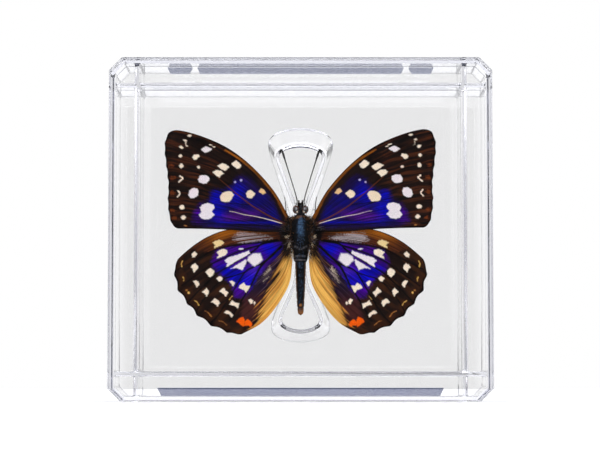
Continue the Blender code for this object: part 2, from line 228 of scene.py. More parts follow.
@dataclass(frozen=True)
class Spot:
    """A round or squarish spot of pale scales, in wing millimetres."""

    place: Point
    size: Point
    tone: Tone
    turn: float = 0.0
    square: float = 2.0
    softness: float = 0.25

    def cover(self, u: Array, v: Array, ragged: Array) -> Array:
        """How much of the spot's tone lies at each place.

        Args:
            u: Places outwards from the middle of the body.
            v: Places upwards from the thorax.
            ragged: How far the edge strays at each place.

        Returns:
            Cover from 0 to 1.
        """
        angle = math.radians(self.turn)
        du, dv = u - self.place[0], v - self.place[1]
        a = np.abs(du * math.cos(angle) + dv * math.sin(angle)) / (self.size[0] / 2)
        b = np.abs(dv * math.cos(angle) - du * math.sin(angle)) / (self.size[1] / 2)
        reach = (a**self.square + b**self.square) ** (1 / self.square)
        distance = (reach - 1.0) * min(self.size) / 2 + ragged
        return 1.0 - ease(-self.softness / 2, self.softness / 2, distance)


@dataclass(frozen=True)
class Patch:
    """An area of one tone inside a closed outline, in wing millimetres."""

    corners: tuple[Point, ...]
    tone: Tone
    softness: float = 0.25
    strength: float = 1.0

    def cover(self, u: Array, v: Array, ragged: Array) -> Array:
        """How much of the patch's tone lies at each place.

        Args:
            u: Places outwards from the middle of the body.
            v: Places upwards from the thorax.
            ragged: How far the edge strays at each place.

        Returns:
            Cover from 0 to the patch's strength.
        """
        loop = np.array(self.corners + self.corners[:1], float)
        inside = np.zeros(u.shape, bool)
        for (u1, v1), (u2, v2) in zip(loop, loop[1:]):
            if v1 != v2:
                crossed = (v1 > v) != (v2 > v)
                inside ^= crossed & (u < (u2 - u1) * (v - v1) / (v2 - v1) + u1)
        distance, _ = line_distance(u, v, loop)
        distance = np.where(inside, -distance, distance) + ragged
        return self.strength * (1.0 - ease(-self.softness / 2, self.softness / 2, distance))


@dataclass(frozen=True)
class Streak:
    """A line of one tone, wider or narrower at its ends, in wing millimetres."""

    points: tuple[Point, ...]
    widths: Point
    tone: Tone
    softness: float = 0.2
    strength: float = 1.0

    def cover(self, u: Array, v: Array, ragged: Array) -> Array:
        """How much of the streak's tone lies at each place.

        Args:
            u: Places outwards from the middle of the body.
            v: Places upwards from the thorax.
            ragged: How far the edge strays at each place.

        Returns:
            Cover from 0 to the streak's strength.
        """
        line = along_curve(self.points, np.linspace(0.0, 1.0, 4 * len(self.points)))
        distance, share = line_distance(u, v, line)
        half = (self.widths[0] + (self.widths[1] - self.widths[0]) * share) / 2
        edge = distance - half + ragged
        return self.strength * (1.0 - ease(-self.softness / 2, self.softness / 2, edge))


Mark = Spot | Patch | Streak


def wash(tones: Array, tone: Tone, cover: Array) -> Array:
    """The tones with another one laid over them."""
    return tones * (1 - cover[..., None]) + linear(tone) * cover[..., None]


def lay(tones: Array, marks: Iterable[Mark], u: Array, v: Array, ragged: Array) -> Array:
    """The tones with marks laid over them.

    Args:
        tones: Linear colours to start from.
        marks: The marks, the lowest first.
        u: Places outwards from the middle of the body.
        v: Places upwards from the thorax.
        ragged: How far the marks' edges stray at each place.

    Returns:
        The new colours.
    """
    for mark in marks:
        tones = wash(tones, mark.tone, mark.cover(u, v, ragged))
    return tones


# Finishes


@dataclass(frozen=True)
class ClearPlastic:
    """Polished clear plastic with a tint in its depth."""

    name: str = "clear_plastic"
    ior: float = 1.59
    roughness: float = 0.0
    tint: Place = (0.75, 0.757, 0.815)
    density: float = 26.0

    def make(self) -> Material:
        """The material.

        Returns:
            A new Blender material.
        """
        material = bpy.data.materials.new(self.name)
        material.use_nodes = True
        nodes, links = material.node_tree.nodes, material.node_tree.links
        shader = nodes["Principled BSDF"]
        shader.inputs["Base Color"].default_value = (1.0, 1.0, 1.0, 1.0)
        shader.inputs["Roughness"].default_value = self.roughness
        shader.inputs["IOR"].default_value = self.ior
        shader.inputs["Transmission Weight"].default_value = 1.0
        depth = nodes.new("ShaderNodeVolumeAbsorption")
        depth.inputs["Color"].default_value = (*self.tint, 1.0)
        depth.inputs["Density"].default_value = self.density
        links.new(depth.outputs["Volume"], nodes["Material Output"].inputs["Volume"])
        return material


@dataclass(frozen=True)
class Painted:
    """A dull organic surface whose colours are painted on its points, with fine grain."""

    name: str
    grain_size: float = 0.12
    grain_depth: float = 0.35
    bump_height: float = 0.02
    roughness: float = 0.55
    roughness_spread: float = 0.15
    specular: float = 0.3

    def make(self) -> Material:
        """The material.

        Returns:
            A new Blender material that reads the painted tones.
        """
        material = bpy.data.materials.new(self.name)
        material.use_nodes = True
        nodes, links = material.node_tree.nodes, material.node_tree.links
        shader = nodes["Principled BSDF"]
        shader.inputs["Specular IOR Level"].default_value = self.specular
        place = nodes.new("ShaderNodeTexCoord")
        noise = nodes.new("ShaderNodeTexNoise")
        noise.inputs["Scale"].default_value = 1.0 / (self.grain_size * MM)
        noise.inputs["Detail"].default_value = 3.0
        links.new(place.outputs["Object"], noise.inputs["Vector"])
        shade = nodes.new("ShaderNodeMapRange")
        shade.inputs["From Min"].default_value = 0.3
        shade.inputs["From Max"].default_value = 0.7
        shade.inputs["To Min"].default_value = 1.0 - self.grain_depth
        shade.inputs["To Max"].default_value = 1.0 + self.grain_depth * 0.6
        links.new(noise.outputs["Fac"], shade.inputs["Value"])
        tones = nodes.new("ShaderNodeVertexColor")
        tones.layer_name = TONES
        product = nodes.new("ShaderNodeVectorMath")
        product.operation = "SCALE"
        links.new(tones.outputs["Color"], product.inputs[0])
        links.new(shade.outputs["Result"], product.inputs["Scale"])
        links.new(product.outputs["Vector"], shader.inputs["Base Color"])
        gloss = nodes.new("ShaderNodeMapRange")
        gloss.inputs["To Min"].default_value = self.roughness - self.roughness_spread
        gloss.inputs["To Max"].default_value = self.roughness + self.roughness_spread
        links.new(noise.outputs["Fac"], gloss.inputs["Value"])
        links.new(gloss.outputs["Result"], shader.inputs["Roughness"])
        bump = nodes.new("ShaderNodeBump")
        bump.inputs["Strength"].default_value = 0.5
        bump.inputs["Distance"].default_value = self.bump_height * MM
        links.new(noise.outputs["Fac"], bump.inputs["Height"])
        links.new(bump.outputs["Normal"], shader.inputs["Normal"])
        return material


@dataclass(frozen=True)
class Matt:
    """A plain matt surface of the studio, which can glow a little."""

    name: str
    colour: Place
    glow: float = 0.0

    def make(self) -> Material:
        """The material.

        Returns:
            A new Blender material.
        """
        material = bpy.data.materials.new(self.name)
        material.use_nodes = True
        shader = material.node_tree.nodes["Principled BSDF"]
        shader.inputs["Base Color"].default_value = (*self.colour, 1.0)
        shader.inputs["Roughness"].default_value = 1.0
        shader.inputs["Specular IOR Level"].default_value = 0.0
        shader.inputs["Emission Color"].default_value = (1.0, 1.0, 1.0, 1.0)
        shader.inputs["Emission Strength"].default_value = self.glow
        return material


# Making pieces


def add_piece(
    name: str,
    mesh: Mesh,
    material: Material,
    nodes: Sequence[str],
) -> None:
    """Put a mesh in the scene as a piece of the object and report it.

    Args:
        name: The piece's name.
        mesh: Its mesh, in the part's own frame.
        material: Its finish.
        nodes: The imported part's nodes that it stands for.
    """
    mesh.materials.append(material)
    piece = bpy.data.objects.new(name, mesh)
    bpy.context.scene.collection.objects.link(piece)
    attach(piece, BODY)
    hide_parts(*nodes)
    log.info("%s: %d points, %d faces", name, len(mesh.vertices), len(mesh.polygons))


def paint_points(mesh: Mesh, tones: Array) -> None:
    """Store a colour on each point of a mesh.

    Args:
        mesh: The mesh.
        tones: One row of linear red, green and blue for each point.
    """
    layer = mesh.color_attributes.new(TONES, "FLOAT_COLOR", "POINT")
    rows = np.ones((len(tones), 4), np.float32)
    rows[:, :3] = tones
    layer.data.foreach_set("color", rows.ravel())


def mesh_from(form: bmesh.types.BMesh, name: str) -> Mesh:
    """Turn a growing mesh into a finished one.

    Args:
        form: The growing mesh, which is freed.
        name: The name of the finished mesh.

    Returns:
        The finished mesh.
    """
    mesh = bpy.data.meshes.new(name)
    form.to_mesh(mesh)
    form.free()
    return mesh


def painted_mesh(name: str, points: Array, faces: Sequence[tuple[int, ...]], tones: Array) -> Mesh:
    """A smooth mesh with a colour on each point.

    Args:
        name: The mesh's name.
        points: Its points in millimetres, one row for each.
        faces: Point numbers of each face.
        tones: Linear colours, one row for each point.

    Returns:
        The mesh, in metres.
    """
    mesh = bpy.data.meshes.new(name)
    mesh.from_pydata((points * MM).tolist(), [], faces)
    mesh.polygons.foreach_set("use_smooth", np.ones(len(faces), bool))
    paint_points(mesh, tones)
    mesh.update()
    return mesh


def grid_faces(rows: int, columns: int, first: int, flip: bool) -> list[tuple[int, ...]]:
    """Faces of a grid of points.

    Args:
        rows: Points in one direction.
        columns: Points in the other direction.
        first: The number of the grid's first point.
        flip: Whether the faces turn the other way.

    Returns:
        Four point numbers for each face.
    """
    faces = []
    for i in range(rows - 1):
        for j in range(columns - 1):
            a = first + i * columns + j
            face = (a, a + 1, a + columns + 1, a + columns)
            faces.append(face[::-1] if flip else face)
    return faces


# Case


@dataclass(frozen=True)
class Outline:
    """A convex outline with round corners, in metres round the case's middle."""

    corners: tuple[Point, ...]
    radius: float
    steps: int = 6

    def ring(self, inset: float) -> list[Point]:
        """The outline drawn in, or grown where inset is negative.

        Args:
            inset: How far the outline is drawn in.

        Returns:
            Its points, counter-clockwise.
        """
        corners = [Vector(corner) for corner in self.corners]
        radius = max(self.radius - inset, 0.08 * MM)
        points = []
        for i, corner in enumerate(corners):
            before = (corner - corners[i - 1]).normalized()
            after = (corners[(i + 1) % len(corners)] - corner).normalized()
            n1, n2 = Vector((-before.y, before.x)), Vector((-after.y, after.x))
            centre = corner + (n1 + n2) * (inset + radius) / (1.0 + n1.dot(n2))
            angle = math.acos(max(-1.0, min(1.0, n1.dot(n2))))
            for step in range(self.steps + 1):
                t = step / self.steps
                out = (n1 * math.sin((1 - t) * angle) + n2 * math.sin(t * angle)) / math.sin(angle)
                points.append(tuple(centre - out * radius))
        return points


@dataclass(frozen=True)
class BowTie:
    """The recess that carries the body: a bow tie that narrows from its mouth to its floor."""

    depth: float = 12.0 * MM
    wall: float = 1.2 * MM
    edge: float = 0.12 * MM
    waist_height: float = 57.4 * MM
    mouth: tuple[Point, ...] = (
        (0.0, -35.9),
        (11.0, -33.0),
        (2.0, -8.6),
        (2.0, 5.8),
        (12.1, 37.0),
        (0.0, 40.5),
    )
    floor: tuple[Point, ...] = (
        (0.0, -32.3),
        (7.4, -29.5),
        (0.6, -14.6),
        (0.6, 9.5),
        (8.3, 29.8),
        (0.0, 32.3),
    )
    counts: tuple[int, ...] = (12, 18, 8, 22, 14)
    rounding: int = 9

    def ring(self, depth: float, grow: float) -> list[Point]:
        """The outline at a depth behind the outer face.

        Args:
            depth: How deep the outline lies.
            grow: How far it is grown outwards.

        Returns:
            Its points from the case's middle, counter-clockwise.
        """
        share = min(depth, self.depth) / self.depth
        corners = np.array(self.mouth) * (1 - share) + np.array(self.floor) * share
        half: list[Point] = []
        for number, (start, end, count) in enumerate(zip(corners, corners[1:], self.counts)):
            for i in range(count):
                t = i / count
                u, v = start * (1 - t) + end * t
                if number in (0, len(self.counts) - 1):
                    v = self._arc(start, end, u)
                half.append((u, v))
        half.append(tuple(corners[-1]))
        other = [(-u, v) for u, v in reversed(half[1:-1])]
        points = np.array(half + other)
        for _ in range(self.rounding):
            points = (np.roll(points, 1, 0) + 2 * points + np.roll(points, -1, 0)) / 4
        along = np.roll(points, -1, 0) - np.roll(points, 1, 0)
        along /= np.hypot(*along.T)[:, None]
        points = points + np.stack((along[:, 1], -along[:, 0]), 1) * grow / MM
        middle = self.waist_height - DisplayCase.height / 2
        return [(u * MM, v * MM + middle) for u, v in points]

    @staticmethod
    def _arc(start: Array, end: Array, u: float) -> float:
        """The height of the round end between its tip and its corner, u outwards.

        Args:
            start: One end of that piece of the outline.
            end: Its other end.
            u: How far outwards the place is.

        Returns:
            Its height from the waist.
        """
        tip, corner = (start, end) if start[0] == 0.0 else (end, start)
        rise = tip[1] - corner[1]
        radius = (corner[0] ** 2 + rise**2) / (2 * abs(rise))
        drop = radius - math.sqrt(radius**2 - u**2)
        return tip[1] - math.copysign(drop, rise)


class ShellMesh:
    """A closed mesh that grows from rings of points, the skins between them and flat sheets."""

    def __init__(self, face: float, inward: int, middle: float) -> None:
        """Start an empty mesh.

        Args:
            face: The y of the shell's outer face.
            inward: The y direction into the case.
            middle: The height of the case's middle.
        """
        self.form = bmesh.new()
        self.face = face
        self.inward = inward
        self.middle = middle

    def ring(self, points: Iterable[Point], depth: float) -> Loop:
        """Add points at a depth behind the outer face."""
        y = self.face + self.inward * depth
        return [self.form.verts.new((x, y, z + self.middle)) for x, z in points]

    def skin(self, rings: Sequence[Loop], flats: Sequence[int] = ()) -> None:
        """Join rings of equal length.

        Args:
            rings: The rings in order.
            flats: Numbers of the bands that stay unsmoothed.
        """
        for band, (ring, following) in enumerate(zip(rings, rings[1:])):
            for i in range(len(ring)):
                j = (i + 1) % len(ring)
                face = self.form.faces.new((ring[i], ring[j], following[j], following[i]))
                face.smooth = band not in flats

    def sheet(self, outer: Loop, holes: Sequence[Loop] = ()) -> None:
        """Fill a flat area.

        Args:
            outer: The ring round it.
            holes: Rings of the holes in it.
        """
        loops = [outer, *holes]
        points = [vert for loop in loops for vert in loop]
        for triangle in tessellate_polygon([[vert.co for vert in loop] for loop in loops]):
            corners = [points[i] for i in triangle]
            if len(set(corners)) == 3:
                self.form.faces.new(corners)

    def finish(self, name: str) -> Mesh:
        """Turn the growing mesh into a finished one.

        Args:
            name: The mesh's name.

        Returns:
            The mesh, with its faces turned outwards.
        """
        bmesh.ops.recalc_face_normals(self.form, faces=self.form.faces)
        return mesh_from(self.form, name)


def convex_edge(radius: float, steps: int = 4) -> list[Point]:
    """Drawn-in distance and depth along a rounded outer edge, from the face inwards."""
    angles = [math.pi / 2 * i / steps for i in range(steps + 1)]
    return [(radius * (1 - math.sin(a)), radius * (1 - math.cos(a))) for a in angles]


@dataclass
class DisplayCase:
    """Two clear shells with cells round a chamber, and the recess in the back one."""

    width: float = 133.0 * MM
    height: float = 119.4 * MM
    depth: float = 32.0 * MM
    chamfer: float = 4.5 * MM
    front_depth: float = 11.0 * MM
    gap: float = 0.3 * MM
    outer_wall: float = 2.0 * MM
    inner_inset: float = 9.0 * MM
    inner_wall: float = 1.4 * MM
    pane: float = 2.4 * MM
    border: float = 2.42 * MM
    window_inset: float = 13.0 * MM
    window_slope: Point = (1.0 * MM, 4.0 * MM)
    window_lip: float = 0.15 * MM
    window_corner: float = 0.6 * MM
    room_corner: float = 1.0 * MM
    wall_bevel: float = 1.17 * MM
    face_round: float = 0.6 * MM
    rim_round: float = 0.25 * MM
    root_round: float = 0.12 * MM
    corner_round: float = 0.5 * MM
    rail_gap: float = 0.02 * MM
    bow_tie: BowTie = field(default_factory=BowTie)
    finish: ClearPlastic = field(default_factory=ClearPlastic)

    def build(self) -> None:
        """Make both shells and the clip rails."""
        material = self.finish.make()
        back_depth = self.depth - self.front_depth
        front = self._shell(-self.depth / 2, 1, self.front_depth - self.gap / 2, False)
        add_piece("shell_front", front.finish("shell_front"), material, ["case_front"])
        back = self._shell(self.depth / 2, -1, back_depth - self.gap / 2, True)
        add_piece("shell_back", back.finish("shell_back"), material, ["case_back"])
        self._rails()

    def _rails(self) -> None:
        """Clip rails in the upper cell, on the inner wall's upper run and in the lower cell, tinted dark
        blue-grey as painted shade.
        """
        top = self.height - self.outer_wall - self.rail_gap
        foot = self.outer_wall + self.rail_gap
        shelf = self.height - self.inner_inset + self.rail_gap
        # Painted shade: the rails' dark blue-grey tint stands for the dark strips along the case's rims.
        shade_tinted_plastic = ClearPlastic("rail_plastic", tint=(0.52, 0.55, 0.65), density=400.0).make()
        # Height of the flat side and of the edge, middle in depth, slope, and spans in millimetres
        rows = {
            "upper": (top, top - 2.05 * MM, 0.0, 0.6, ((-46.9, -38.1), (-36.4, 36.4), (38.1, 46.9))),
            "inner": (shelf + 1.65 * MM, shelf, -1.0 * MM, 0.6, ((-52.3, 52.3),)),
            "lower": (foot + 2.85 * MM, foot, -8.5 * MM, 0.5, ((-49.6, 49.6),)),
        }
        for name, (flat, edge, middle, share, spans) in rows.items():
            form = bmesh.new()
            half = (flat - edge) * share
            section = ((middle - half, edge), (middle - half, flat), (middle + half, flat))
            for start, end in spans:
                ends = []
                for x, sign in ((start * MM, 1), (end * MM, -1)):
                    slant = [x + sign * (flat - z) * 0.5 for _, z in section]
                    ends.append([form.verts.new((px, y, z)) for px, (y, z) in zip(slant, section)])
                for i in range(3):
                    j = (i + 1) % 3
                    form.faces.new((ends[0][i], ends[0][j], ends[1][j], ends[1][i]))
                form.faces.new(ends[0])
                form.faces.new(ends[1])
            bmesh.ops.recalc_face_normals(form, faces=form.faces)
            mesh = mesh_from(form, "clip_rail_" + name)
            add_piece("clip_rail_" + name, mesh, shade_tinted_plastic, ["case_back"])

    def _frame(self, inset: float, radius: float) -> Outline:
        """A rectangle drawn in from the case's outline."""
        x, z = self.width / 2 - inset, self.height / 2 - inset
        return Outline(((x, z), (-x, z), (-x, -z), (x, -z)), radius)

    def _body(self) -> Outline:
        """The case's outer outline with its cut corners.

        Returns:
            An outline with eight corners.
        """
        x, z, c = self.width / 2, self.height / 2, self.chamfer
        corners = []
        for sx, sz in ((1, 1), (-1, 1), (-1, -1), (1, -1)):
            side, end = (sx * x, sz * (z - c)), (sx * (x - c), sz * z)
            corners += (side, end) if sx == sz else (end, side)
        return Outline(tuple(corners), self.corner_round, 4)

    def _cells(self) -> list[Outline]:
        """The four long cells and the four corner cells between the walls.

        Returns:
            One outline for each cell.
        """
        wall_x = self.width / 2 - self.inner_inset
        wall_z = self.height / 2 - self.inner_inset
        room_x, room_z = wall_x - self.inner_wall, wall_z - self.inner_wall
        skirt_x, skirt_z = self.width / 2 - self.outer_wall, self.height / 2 - self.outer_wall
        cut = self.chamfer - self.outer_wall * (2 - math.sqrt(2))
        found = []
        for sign in (1, -1):
            side = ((wall_x, -room_z), (skirt_x, -room_z), (skirt_x, room_z), (wall_x, room_z))
            end = ((-room_x, wall_z), (room_x, wall_z), (room_x, skirt_z), (-room_x, skirt_z))
            found.append(tuple((x * sign, z * sign) for x, z in side))
            found.append(tuple((x * sign, z * sign) for x, z in end))
        corner = (
            (wall_x, wall_z),
            (skirt_x, wall_z),
            (skirt_x, skirt_z - cut),
            (skirt_x - cut, skirt_z),
            (wall_x, skirt_z),
        )
        for sx, sz in ((1, 1), (-1, 1), (-1, -1), (1, -1)):
            points = tuple((x * sx, z * sz) for x, z in corner)
            found.append(points if sx == sz else points[::-1])
        return [Outline(points, self.corner_round, 4) for points in found]

    def _shell(self, face: float, inward: int, rim: float, recess: bool) -> ShellMesh:
        """Make one shell.

        Args:
            face: The y of its outer face.
            inward: The y direction into the case.
            rim: The depth of its rim behind the outer face.
            recess: Whether it has the bow tie.

        Returns:
            The growing mesh.
        """
        mesh = ShellMesh(face, inward, self.height / 2)
        body = self._body()
        rings = [mesh.ring(body.ring(inset), depth) for inset, depth in convex_edge(self.face_round)]
        rim_edge = reversed(convex_edge(self.rim_round, 3))
        rings += [mesh.ring(body.ring(inset), rim - depth) for inset, depth in rim_edge]
        mesh.skin(rings, flats=(4,))
        outer_face, outer_rim = rings[0], rings[-1]

        rim_holes = []
        for cell in self._cells():
            rings = self._wall_rings(mesh, cell, self.pane, rim)
            mesh.skin(rings, flats=(3,))
            mesh.sheet(rings[-1])
            rim_holes.append(rings[0])
        room = self._frame(self.inner_inset + self.inner_wall, self.room_corner)
        rings = self._wall_rings(mesh, room, self.border, rim - (0.0 if recess else self.wall_bevel))
        rim_holes.append(rings[0])
        mesh.skin(rings, flats=(3,))
        border = rings[-1]
        mesh.sheet(outer_rim, rim_holes)

        window = self._frame(self.window_inset, self.window_corner)
        step = self.border - self.pane
        start, end = self.window_slope
        levels = (
            (-start - self.window_lip, self.border),
            (-start, self.border - step * 0.06),
            ((end - start) / 2, self.border - step * 0.5),
            (end, self.pane + step * 0.06),
            (end + self.window_lip, self.pane),
        )
        rings = [mesh.ring(window.ring(inset), depth) for inset, depth in levels]
        mesh.skin(rings, flats=range(len(levels) - 1))
        mesh.sheet(border, [rings[0]])
        if recess:
            base = self._boss(mesh)
            mesh.sheet(rings[-1], [base])
            mesh.sheet(outer_face, [self._recess(mesh)])
        else:
            mesh.sheet(rings[-1])
            mesh.sheet(outer_face)
        return mesh

    def _wall_rings(self, mesh: ShellMesh, outline: Outline, floor: float, rim: float) -> list[Loop]:
        """Rings down the wall of a pocket, from its rounded rim to its rounded floor edge.

        Args:
            mesh: The growing mesh.
            outline: The pocket's outline.
            floor: The depth of its floor.
            rim: The depth of its rim.

        Returns:
            The rings in order.
        """
        levels = [(-inset, rim - depth) for inset, depth in convex_edge(self.rim_round, 3)]
        levels += [(inset, floor + depth) for inset, depth in reversed(convex_edge(self.root_round, 4))]
        return [mesh.ring(outline.ring(inset), depth) for inset, depth in levels]

    def _boss(self, mesh: ShellMesh) -> Loop:
        """The wall round the recess, inside the case, as its ring at the pane."""
        tie = self.bow_tie
        return self._tie_wall(mesh, tie.wall, self.pane, tie.depth + tie.wall, 2)

    def _recess(self, mesh: ShellMesh) -> Loop:
        """The recess, open at the back, as its ring at the mouth."""
        return self._tie_wall(mesh, 0.0, 0.0, self.bow_tie.depth, 1)

    def _tie_wall(self, mesh: ShellMesh, grow: float, start: float, end: float, first: int) -> Loop:
        """One face of the bow tie's slanting wall, with its rounded edges and its flat floor.

        Args:
            mesh: The growing mesh.
            grow: How far the face lies outside the recess's own outline.
            start: The depth where the wall starts.
            end: The depth of its floor.
            first: The first sixth of the depth that has a ring of its own.

        Returns:
            The ring where the wall starts.
        """
        tie = self.bow_tie
        levels = [(grow + inset, start + depth) for inset, depth in convex_edge(tie.edge)]
        levels.append((grow, start + 2 * tie.edge))
        levels += [(grow, start + (end - start) * i / 6) for i in range(first, 6)]
        levels.append((grow, end - 2 * tie.edge))
        levels += [(grow - inset, end - depth) for inset, depth in reversed(convex_edge(tie.edge))]
        rings = [mesh.ring(tie.ring(depth, out), depth) for out, depth in levels]
        mesh.skin(rings)
        mesh.sheet(rings[-1])
        return rings[0]


# Wings


class Places(NamedTuple):
    """Places on a wing, in millimetres and as shares of the way between its edges."""

    u: Array
    v: Array
    across: Array
    outwards: Array


@dataclass
class Wing:
    """A thin sheet between four edges, with raised veins and painted scales on both faces.

    The edges are in millimetres outwards from the middle of the body and upwards from
    the thorax. The leading and the trailing edge run from the body to the margin.
    """

    side: Side
    kind: str
    leading: tuple[Point, ...]
    trailing: tuple[Point, ...]
    root: tuple[Point, ...]
    margin: tuple[Point, ...]
    scallop: float
    rest: float
    arch: float
    arch_edge: float
    leading_end: Point
    margin_lead: Point
    margin_trail: Point
    seed: int
    veins: tuple[Streak, ...]
    glows: tuple[Spot, ...]
    turn: float = 0.0
    thickness: float = 0.34
    vein_rise: float = 0.12
    vein_width: float = 0.22
    fold_dip: float = 0.04
    thorax_height: float = 58.7
    across_steps: int = 190
    outward_steps: int = 210
    scale_row: float = 0.35
    stray: float = 0.12

    def build(self, material: Material) -> None:
        """Make the wing.

        Args:
            material: The finish of its scales.
        """
        across, outwards = np.meshgrid(
            np.linspace(0.0, 1.0, self.across_steps + 1),
            np.linspace(0.0, 1.0, self.outward_steps + 1),
            indexing="ij",
        )
        plan = self._plan(across[:, 0], outwards[0])
        at = Places(plan[..., 0], plan[..., 1], across, outwards)
        upper, under = self._upper(at), self._under(at)
        turned = self._turned(plan)
        middle, half = self._levels(at)
        shape = across.shape
        places = []
        for level in (middle - half, middle + half):
            x, z = turned[..., 0] * self.side.value, turned[..., 1] + self.thorax_height
            places.append(np.stack((x, level, z), -1).reshape(-1, 3))
        flip = self.side is Side.LEFT
        count = shape[0] * shape[1]
        faces = grid_faces(*shape, 0, flip) + grid_faces(*shape, count, not flip)
        faces += self._rim_faces(shape, count, flip)
        name = f"{self.kind}_{self.side.label}"
        tones = np.vstack((upper.reshape(-1, 3), under.reshape(-1, 3)))
        mesh = painted_mesh("scaled_" + name, np.vstack(places), faces, tones)
        add_piece("scaled_" + name, mesh, material, [name])

    def _plan(self, across: Array, outwards: Array) -> Array:
        """The flat places of the wing's points between its four edges.

        Args:
            across: Shares of the way from the leading to the trailing edge.
            outwards: Shares of the way from the root to the margin.

        Returns:
            Two coordinates for each pair of shares.
        """
        edge = (*self.leading, self.leading_end)
        lead = along_curve(edge, outwards * (len(edge) - 2) / (len(edge) - 1))
        trail = along_curve(self.trailing, outwards)
        root, margin = along_curve(self.root, across), self._margin(across)
        a, s = across[:, None, None], outwards[None, :, None]
        root_line = np.array(self.root[0]) * (1 - a) + np.array(self.root[-1]) * a
        margin_line = np.array(self.margin[0]) * (1 - a) + np.array(self.margin[-1]) * a
        rails = lead[None] * (1 - a) + trail[None] * a
        ribs = root[:, None] * (1 - s) + margin[:, None] * s
        return rails + ribs - root_line * (1 - s) - margin_line * s

    def _margin(self, shares: Array) -> Array:
        """The outer margin, hollowed a little between the veins' ends.

        Args:
            shares: Shares of the way from the leading to the trailing edge.

        Returns:
            One place for each share.
        """
        cells = len(self.margin) - 1
        guided = (self.margin_lead, *self.margin, self.margin_trail)
        inner = (1.0 + shares * cells) / (cells + 2)
        line = along_curve(guided, inner)
        along = along_curve(guided, inner + 0.002) - along_curve(guided, inner - 0.002)
        inward = np.stack((along[:, 1], -along[:, 0]), 1)
        inward /= np.hypot(*inward.T)[:, None]
        hollow = self.scallop * np.abs(np.sin(math.pi * cells * shares)) ** 1.3
        hollow *= ease(0.02, 0.22, shares) * ease(0.98, 0.84, shares)
        return line + inward * hollow[:, None]

    def _turned(self, plan: Array) -> Array:
        """The places turned about the first point of the root.

        Args:
            plan: The places before the turn.

        Returns:
            The places after it.
        """
        pivot = np.array(self.root[0])
        c, s = math.cos(math.radians(self.turn)), math.sin(math.radians(self.turn))
        return (plan - pivot) @ np.array(((c, s), (-s, c))) + pivot

    def _levels(self, at: Places) -> tuple[Array, Array]:
        """The middle plane of the sheet and half its thickness, in millimetres.

        Args:
            at: The places.

        Returns:
            Both, with one value for each place.
        """
        u, v, across, outwards = at
        lift = 1.0 - np.abs(self.arch_edge - across)
        middle = self.rest + self.arch * np.sin(math.pi * outwards) * lift
        cells = len(self.margin) - 1
        fold = np.abs(np.sin(math.pi * cells * across)) * outwards
        relief = -self.fold_dip * fold
        for vein in self.veins:
            line = along_curve(vein.points, np.linspace(0.0, 1.0, 4 * len(vein.points)))
            distance, share = line_distance(u, v, line)
            rise = self.vein_rise * (1.0 - 0.5 * share)
            ridge = rise * np.exp(-((distance / self.vein_width) ** 2))
            relief = np.maximum(relief, ridge + relief * 0.5)
        edge = np.minimum.reduce((across, 1 - across, outwards * 1.2, 1 - outwards))
        thin = 0.45 + 0.55 * ease(0.0, 0.03, edge)
        return middle, (self.thickness / 2 + relief) * thin

    def _rim_faces(self, shape: tuple[int, int], count: int, flip: bool) -> list[tuple[int, ...]]:
        """Faces that close the sheet along its four edges.

        Args:
            shape: How many rows and columns of points a face has.
            count: How many points a face has.
            flip: Whether the faces turn the other way.

        Returns:
            Point numbers of each face.
        """
        rows, columns = shape
        edge = [i * columns for i in range(rows)]
        edge += [(rows - 1) * columns + j for j in range(1, columns)]
        edge += [i * columns + columns - 1 for i in range(rows - 2, -1, -1)]
        edge += list(range(columns - 2, 0, -1))
        faces = []
        for a, b in zip(edge, edge[1:] + edge[:1]):
            face = (a, b, b + count, a + count)
            faces.append(face if flip else face[::-1])
        return faces

    def _cells_lines(self, start: float, width: float, tone: Tone, strength: float) -> list[Streak]:
        """Fine lines along the veins that run out to the margin's points.

        Args:
            start: The share of the way out where they start.
            width: Their width.
            tone: Their colour.
            strength: How much they cover.

        Returns:
            One line for each vein.
        """
        cells = len(self.margin) - 1
        lines = []
        for i in range(1, cells):
            shares = np.linspace(start, 0.995, 9)
            points = self._plan(np.array([i / cells]), shares)[0]
            lines.append(Streak(tuple(map(tuple, points)), (width, width), tone, 0.15, strength))
        return lines

    def _streaks(self, across: Array, outwards: Array, fine: float, long: float, salt: int) -> Array:
        """Random streaks that run outwards along the veins.

        Args:
            across: Shares of the way from the leading to the trailing edge.
            outwards: Shares of the way from the root to the margin.
            fine: How many streaks lie in one cell.
            long: How often they change on the way out.
            salt: The number that sets this pattern apart.

        Returns:
            Values from 0 to 1.
        """
        cells = len(self.margin) - 1
        grain = self._grain(salt)
        coarse = grain.at(across * cells * fine, outwards * long + 3.0)
        small = grain.at(across * cells * fine * 2.3 + 40.0, outwards * long * 1.7)
        return 0.65 * coarse + 0.35 * small

    def _ragged(self, u: Array, v: Array) -> Array:
        """How far the edges of markings stray, as rows of scales do."""
        grain = self._grain(5).at(u / self.scale_row + 70.0, v / self.scale_row + 90.0)
        return (grain - 0.5) * 2 * self.stray

    def _grain(self, salt: int) -> Grain:
        """Random values that belong to this wing and one use of them."""
        return Grain(self.seed + self.side.value + salt)

    def _upper(self, at: Places) -> Array:
        """Colours of the face that the front window shows."""
        raise NotImplementedError

    def _under(self, at: Places) -> Array:
        """Colours of the face that the back window shows."""
        raise NotImplementedError


